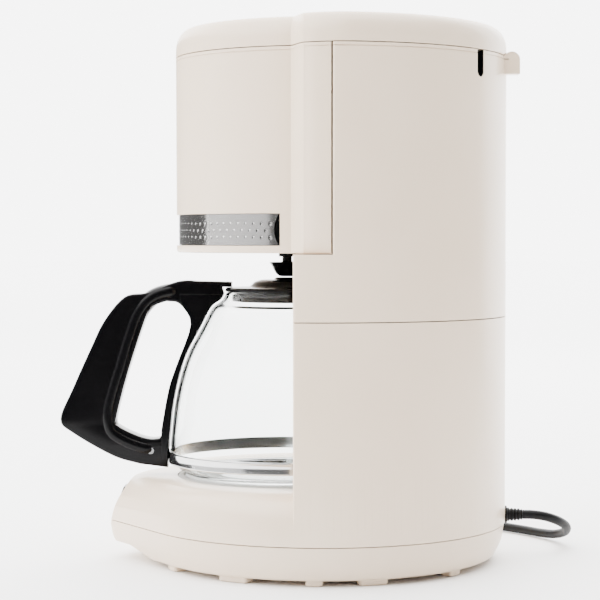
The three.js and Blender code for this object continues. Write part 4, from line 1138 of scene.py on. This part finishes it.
def add_jug_lid():
    seat, top = JUG_RIM + FIT, jug_lid_high.z
    outside = [(JUG_RIM_R, seat), (JUG_RIM_R + 0.4, seat + 1.2), (JUG_RIM_R - 0.4, seat + 2.5)]
    outside += [(23.5, seat + 3.0), (20.5, top - 2.8), (16.5, top - 1.5), (8.5, top - 1.5)]
    outside += [(7, top), (0, top)]
    inside = [(0, top - 3), (18, top - 4.2), (21, seat + 1), (32.4, seat), (32.4, seat - 7), (34.4, seat - 7)]
    cover = turned("jug_cover", rounded([*inside, (34.4, seat), *outside], 1.0, 4), sides=144)
    for k in range(4):
        angle = k * math.pi / 2
        cover = cut(cover, drum("hole", 2.3, JUG_Z, FAR, (12 * math.cos(angle), 12 * math.sin(angle)), 32))
    done(cover, BLACK, "black_plastic", "jug", "jug_lid", degrees=40)


# ---- drip stop
def add_valve():
    low, high = valve_low.z, valve_high.z
    wide, stem = valve_high.x, 3.0
    disc = box_mm("valve_seal")[1].z + FIT
    profile = [(0, low), (4.5, low), (6.8, low + 1.6), (8.3, low + 4), (9.4, low + 6.4), (wide, low + 8.8)]
    profile += [(wide - 0.7, low + 9.0), (8.2, low + 7.2), (stem + 2.2, low + 6.2), (stem + 2.2, low + 8.9)]
    profile += [(stem, low + 9.2), (stem, disc), (7.4, disc), (7.4, disc + 1.9)]
    profile += [(2, disc + 1.9), (2, high), (0, high)]
    done(turned("valve", rounded(profile, 0.7), sides=96), BLACK, "black_plastic", "drip_stop", "drip_valve")


# ---- pieces kept from the frame
SLOT_LOOKS = {
    "cream_plastic": CREAM,
    "black_plastic": BLACK,
    "inner_plastic": GREY,
    "brushed_steel": BRUSHED,
    "bright_steel": BRIGHT,
    "plate_steel": PLATE,
    "aluminium": ALUMINIUM,
    "brass": BRASS,
    "silicone": SILICONE,
    "cord_rubber": RUBBER,
    "jug_glass": GLASS_LOOK,
    "window_plastic": WINDOW,
}


def paint_frame():
    for entry in frame["record"]["subparts"]:
        node = frame["nodes"][entry["node"]]
        if node.hide_render:
            continue
        node.data.materials.clear()
        node.data.materials.append(SLOT_LOOKS[entry["material_slot"]])
        smooth(node, 40)


def add_spring():
    """The coil spring of the drip stop, made at one fixed length."""
    low, high = box_mm("valve_spring")
    radius = high.x - 0.45
    line = []
    for k in range(4 * 32 + 1):
        angle = 2 * math.pi * k / 32
        z = low.z + 0.5 + (high.z - low.z - 1.0) * k / (4 * 32)
        line.append((radius * math.cos(angle), radius * math.sin(angle), z))
    wire = curve_piece("spring_wire", line, 0.42, 3)
    mesh = evaluated(wire)
    bpy.data.objects.remove(wire)
    spring = linked("spring", mesh)
    done(spring, BRIGHT, "bright_steel", "filter_holder", "valve_spring", degrees=60)
    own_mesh(spring)


# ---- floor and lights
def card(name, start, end, height, shade, flag=False):
    """A board seen only in reflections; a flag also keeps light off the machine."""
    made, *_, principled = shader(name, Roughness=0.9)
    principled.inputs["Base Color"].default_value = (shade, shade, shade, 1.0)
    corners = [(*start, 0), (*end, 0), (*end, height), (*start, height)]
    board = piece(name, corners, [(0, 1, 2, 3)])
    board.data.materials.append(made)
    board.visible_camera = False
    board.visible_transmission = False
    board.visible_diffuse = flag
    board.visible_shadow = False
    return board


def floor_card(shade):
    """A dark patch of floor on the camera's side, seen only in reflections."""
    board = card("floor_card", (0, 0), (1, 0), 1, shade)
    for vertex, (x, y) in zip(board.data.vertices, [(450, -1500), (1690, -1500), (1690, 1500), (450, 1500)]):
        vertex.co = (x * MM, y * MM, 0.0005)
    return board


def add_stage():
    made, *_, principled = shader("floor", Roughness=0.7)
    principled.inputs["Base Color"].default_value = (0.97, 0.97, 0.97, 1.0)
    bpy.ops.mesh.primitive_plane_add(size=30.0)
    floor = bpy.context.object
    floor.name = "floor"
    floor.data.materials.append(made)
    lights = [
        floor,
        card("front_card", (-5000, -1300), (-260, -1300), 900, 0.02),
        card("grey_card", (-245, -1300), (1500, -1300), 900, 0.38),
        card("side_flag", (1700, -2300), (1700, 2300), 3000, 0.03, True),
        card("rear_flag", (1400, 1500), (-700, 1500), 2000, 0.1, True),
        floor_card(0.02),
    ]
    for name, place, size, power in (
        ("key", (1.3, -1.0, 1.5), 1.2, 26.0),
        ("fill", (1.6, 1.4, 1.0), 1.6, 8.0),
        ("top", (0.0, 0.0, 2.2), 2.0, 24.0),
        ("rear", (-1.6, 0.4, 1.4), 1.6, 20.0),
    ):
        data = bpy.data.lights.new(name, "AREA")
        data.size = size
        data.energy = power
        lamp = linked(name, data)
        lamp.location = place
        lamp.rotation_euler = (Vector((0, 0, 0.15)) - Vector(place)).to_track_quat("-Z", "Y").to_euler()
        lights.append(lamp)
    world = bpy.data.worlds.new("studio")
    world.use_nodes = True
    world.node_tree.nodes["Background"].inputs["Color"].default_value = (1.0, 1.0, 1.0, 1.0)
    world.node_tree.nodes["Background"].inputs["Strength"].default_value = 7.0
    bpy.context.scene.world = world


add_tray()
add_housing()
add_switch()
add_plate()
add_tank()
add_hinge_pin()
add_slot_shade_sleeve()
add_holder()
add_trim()
add_lid()
add_jug()
add_handle()
add_jug_lid()
add_valve()
add_spring()
paint_frame()
add_stage()
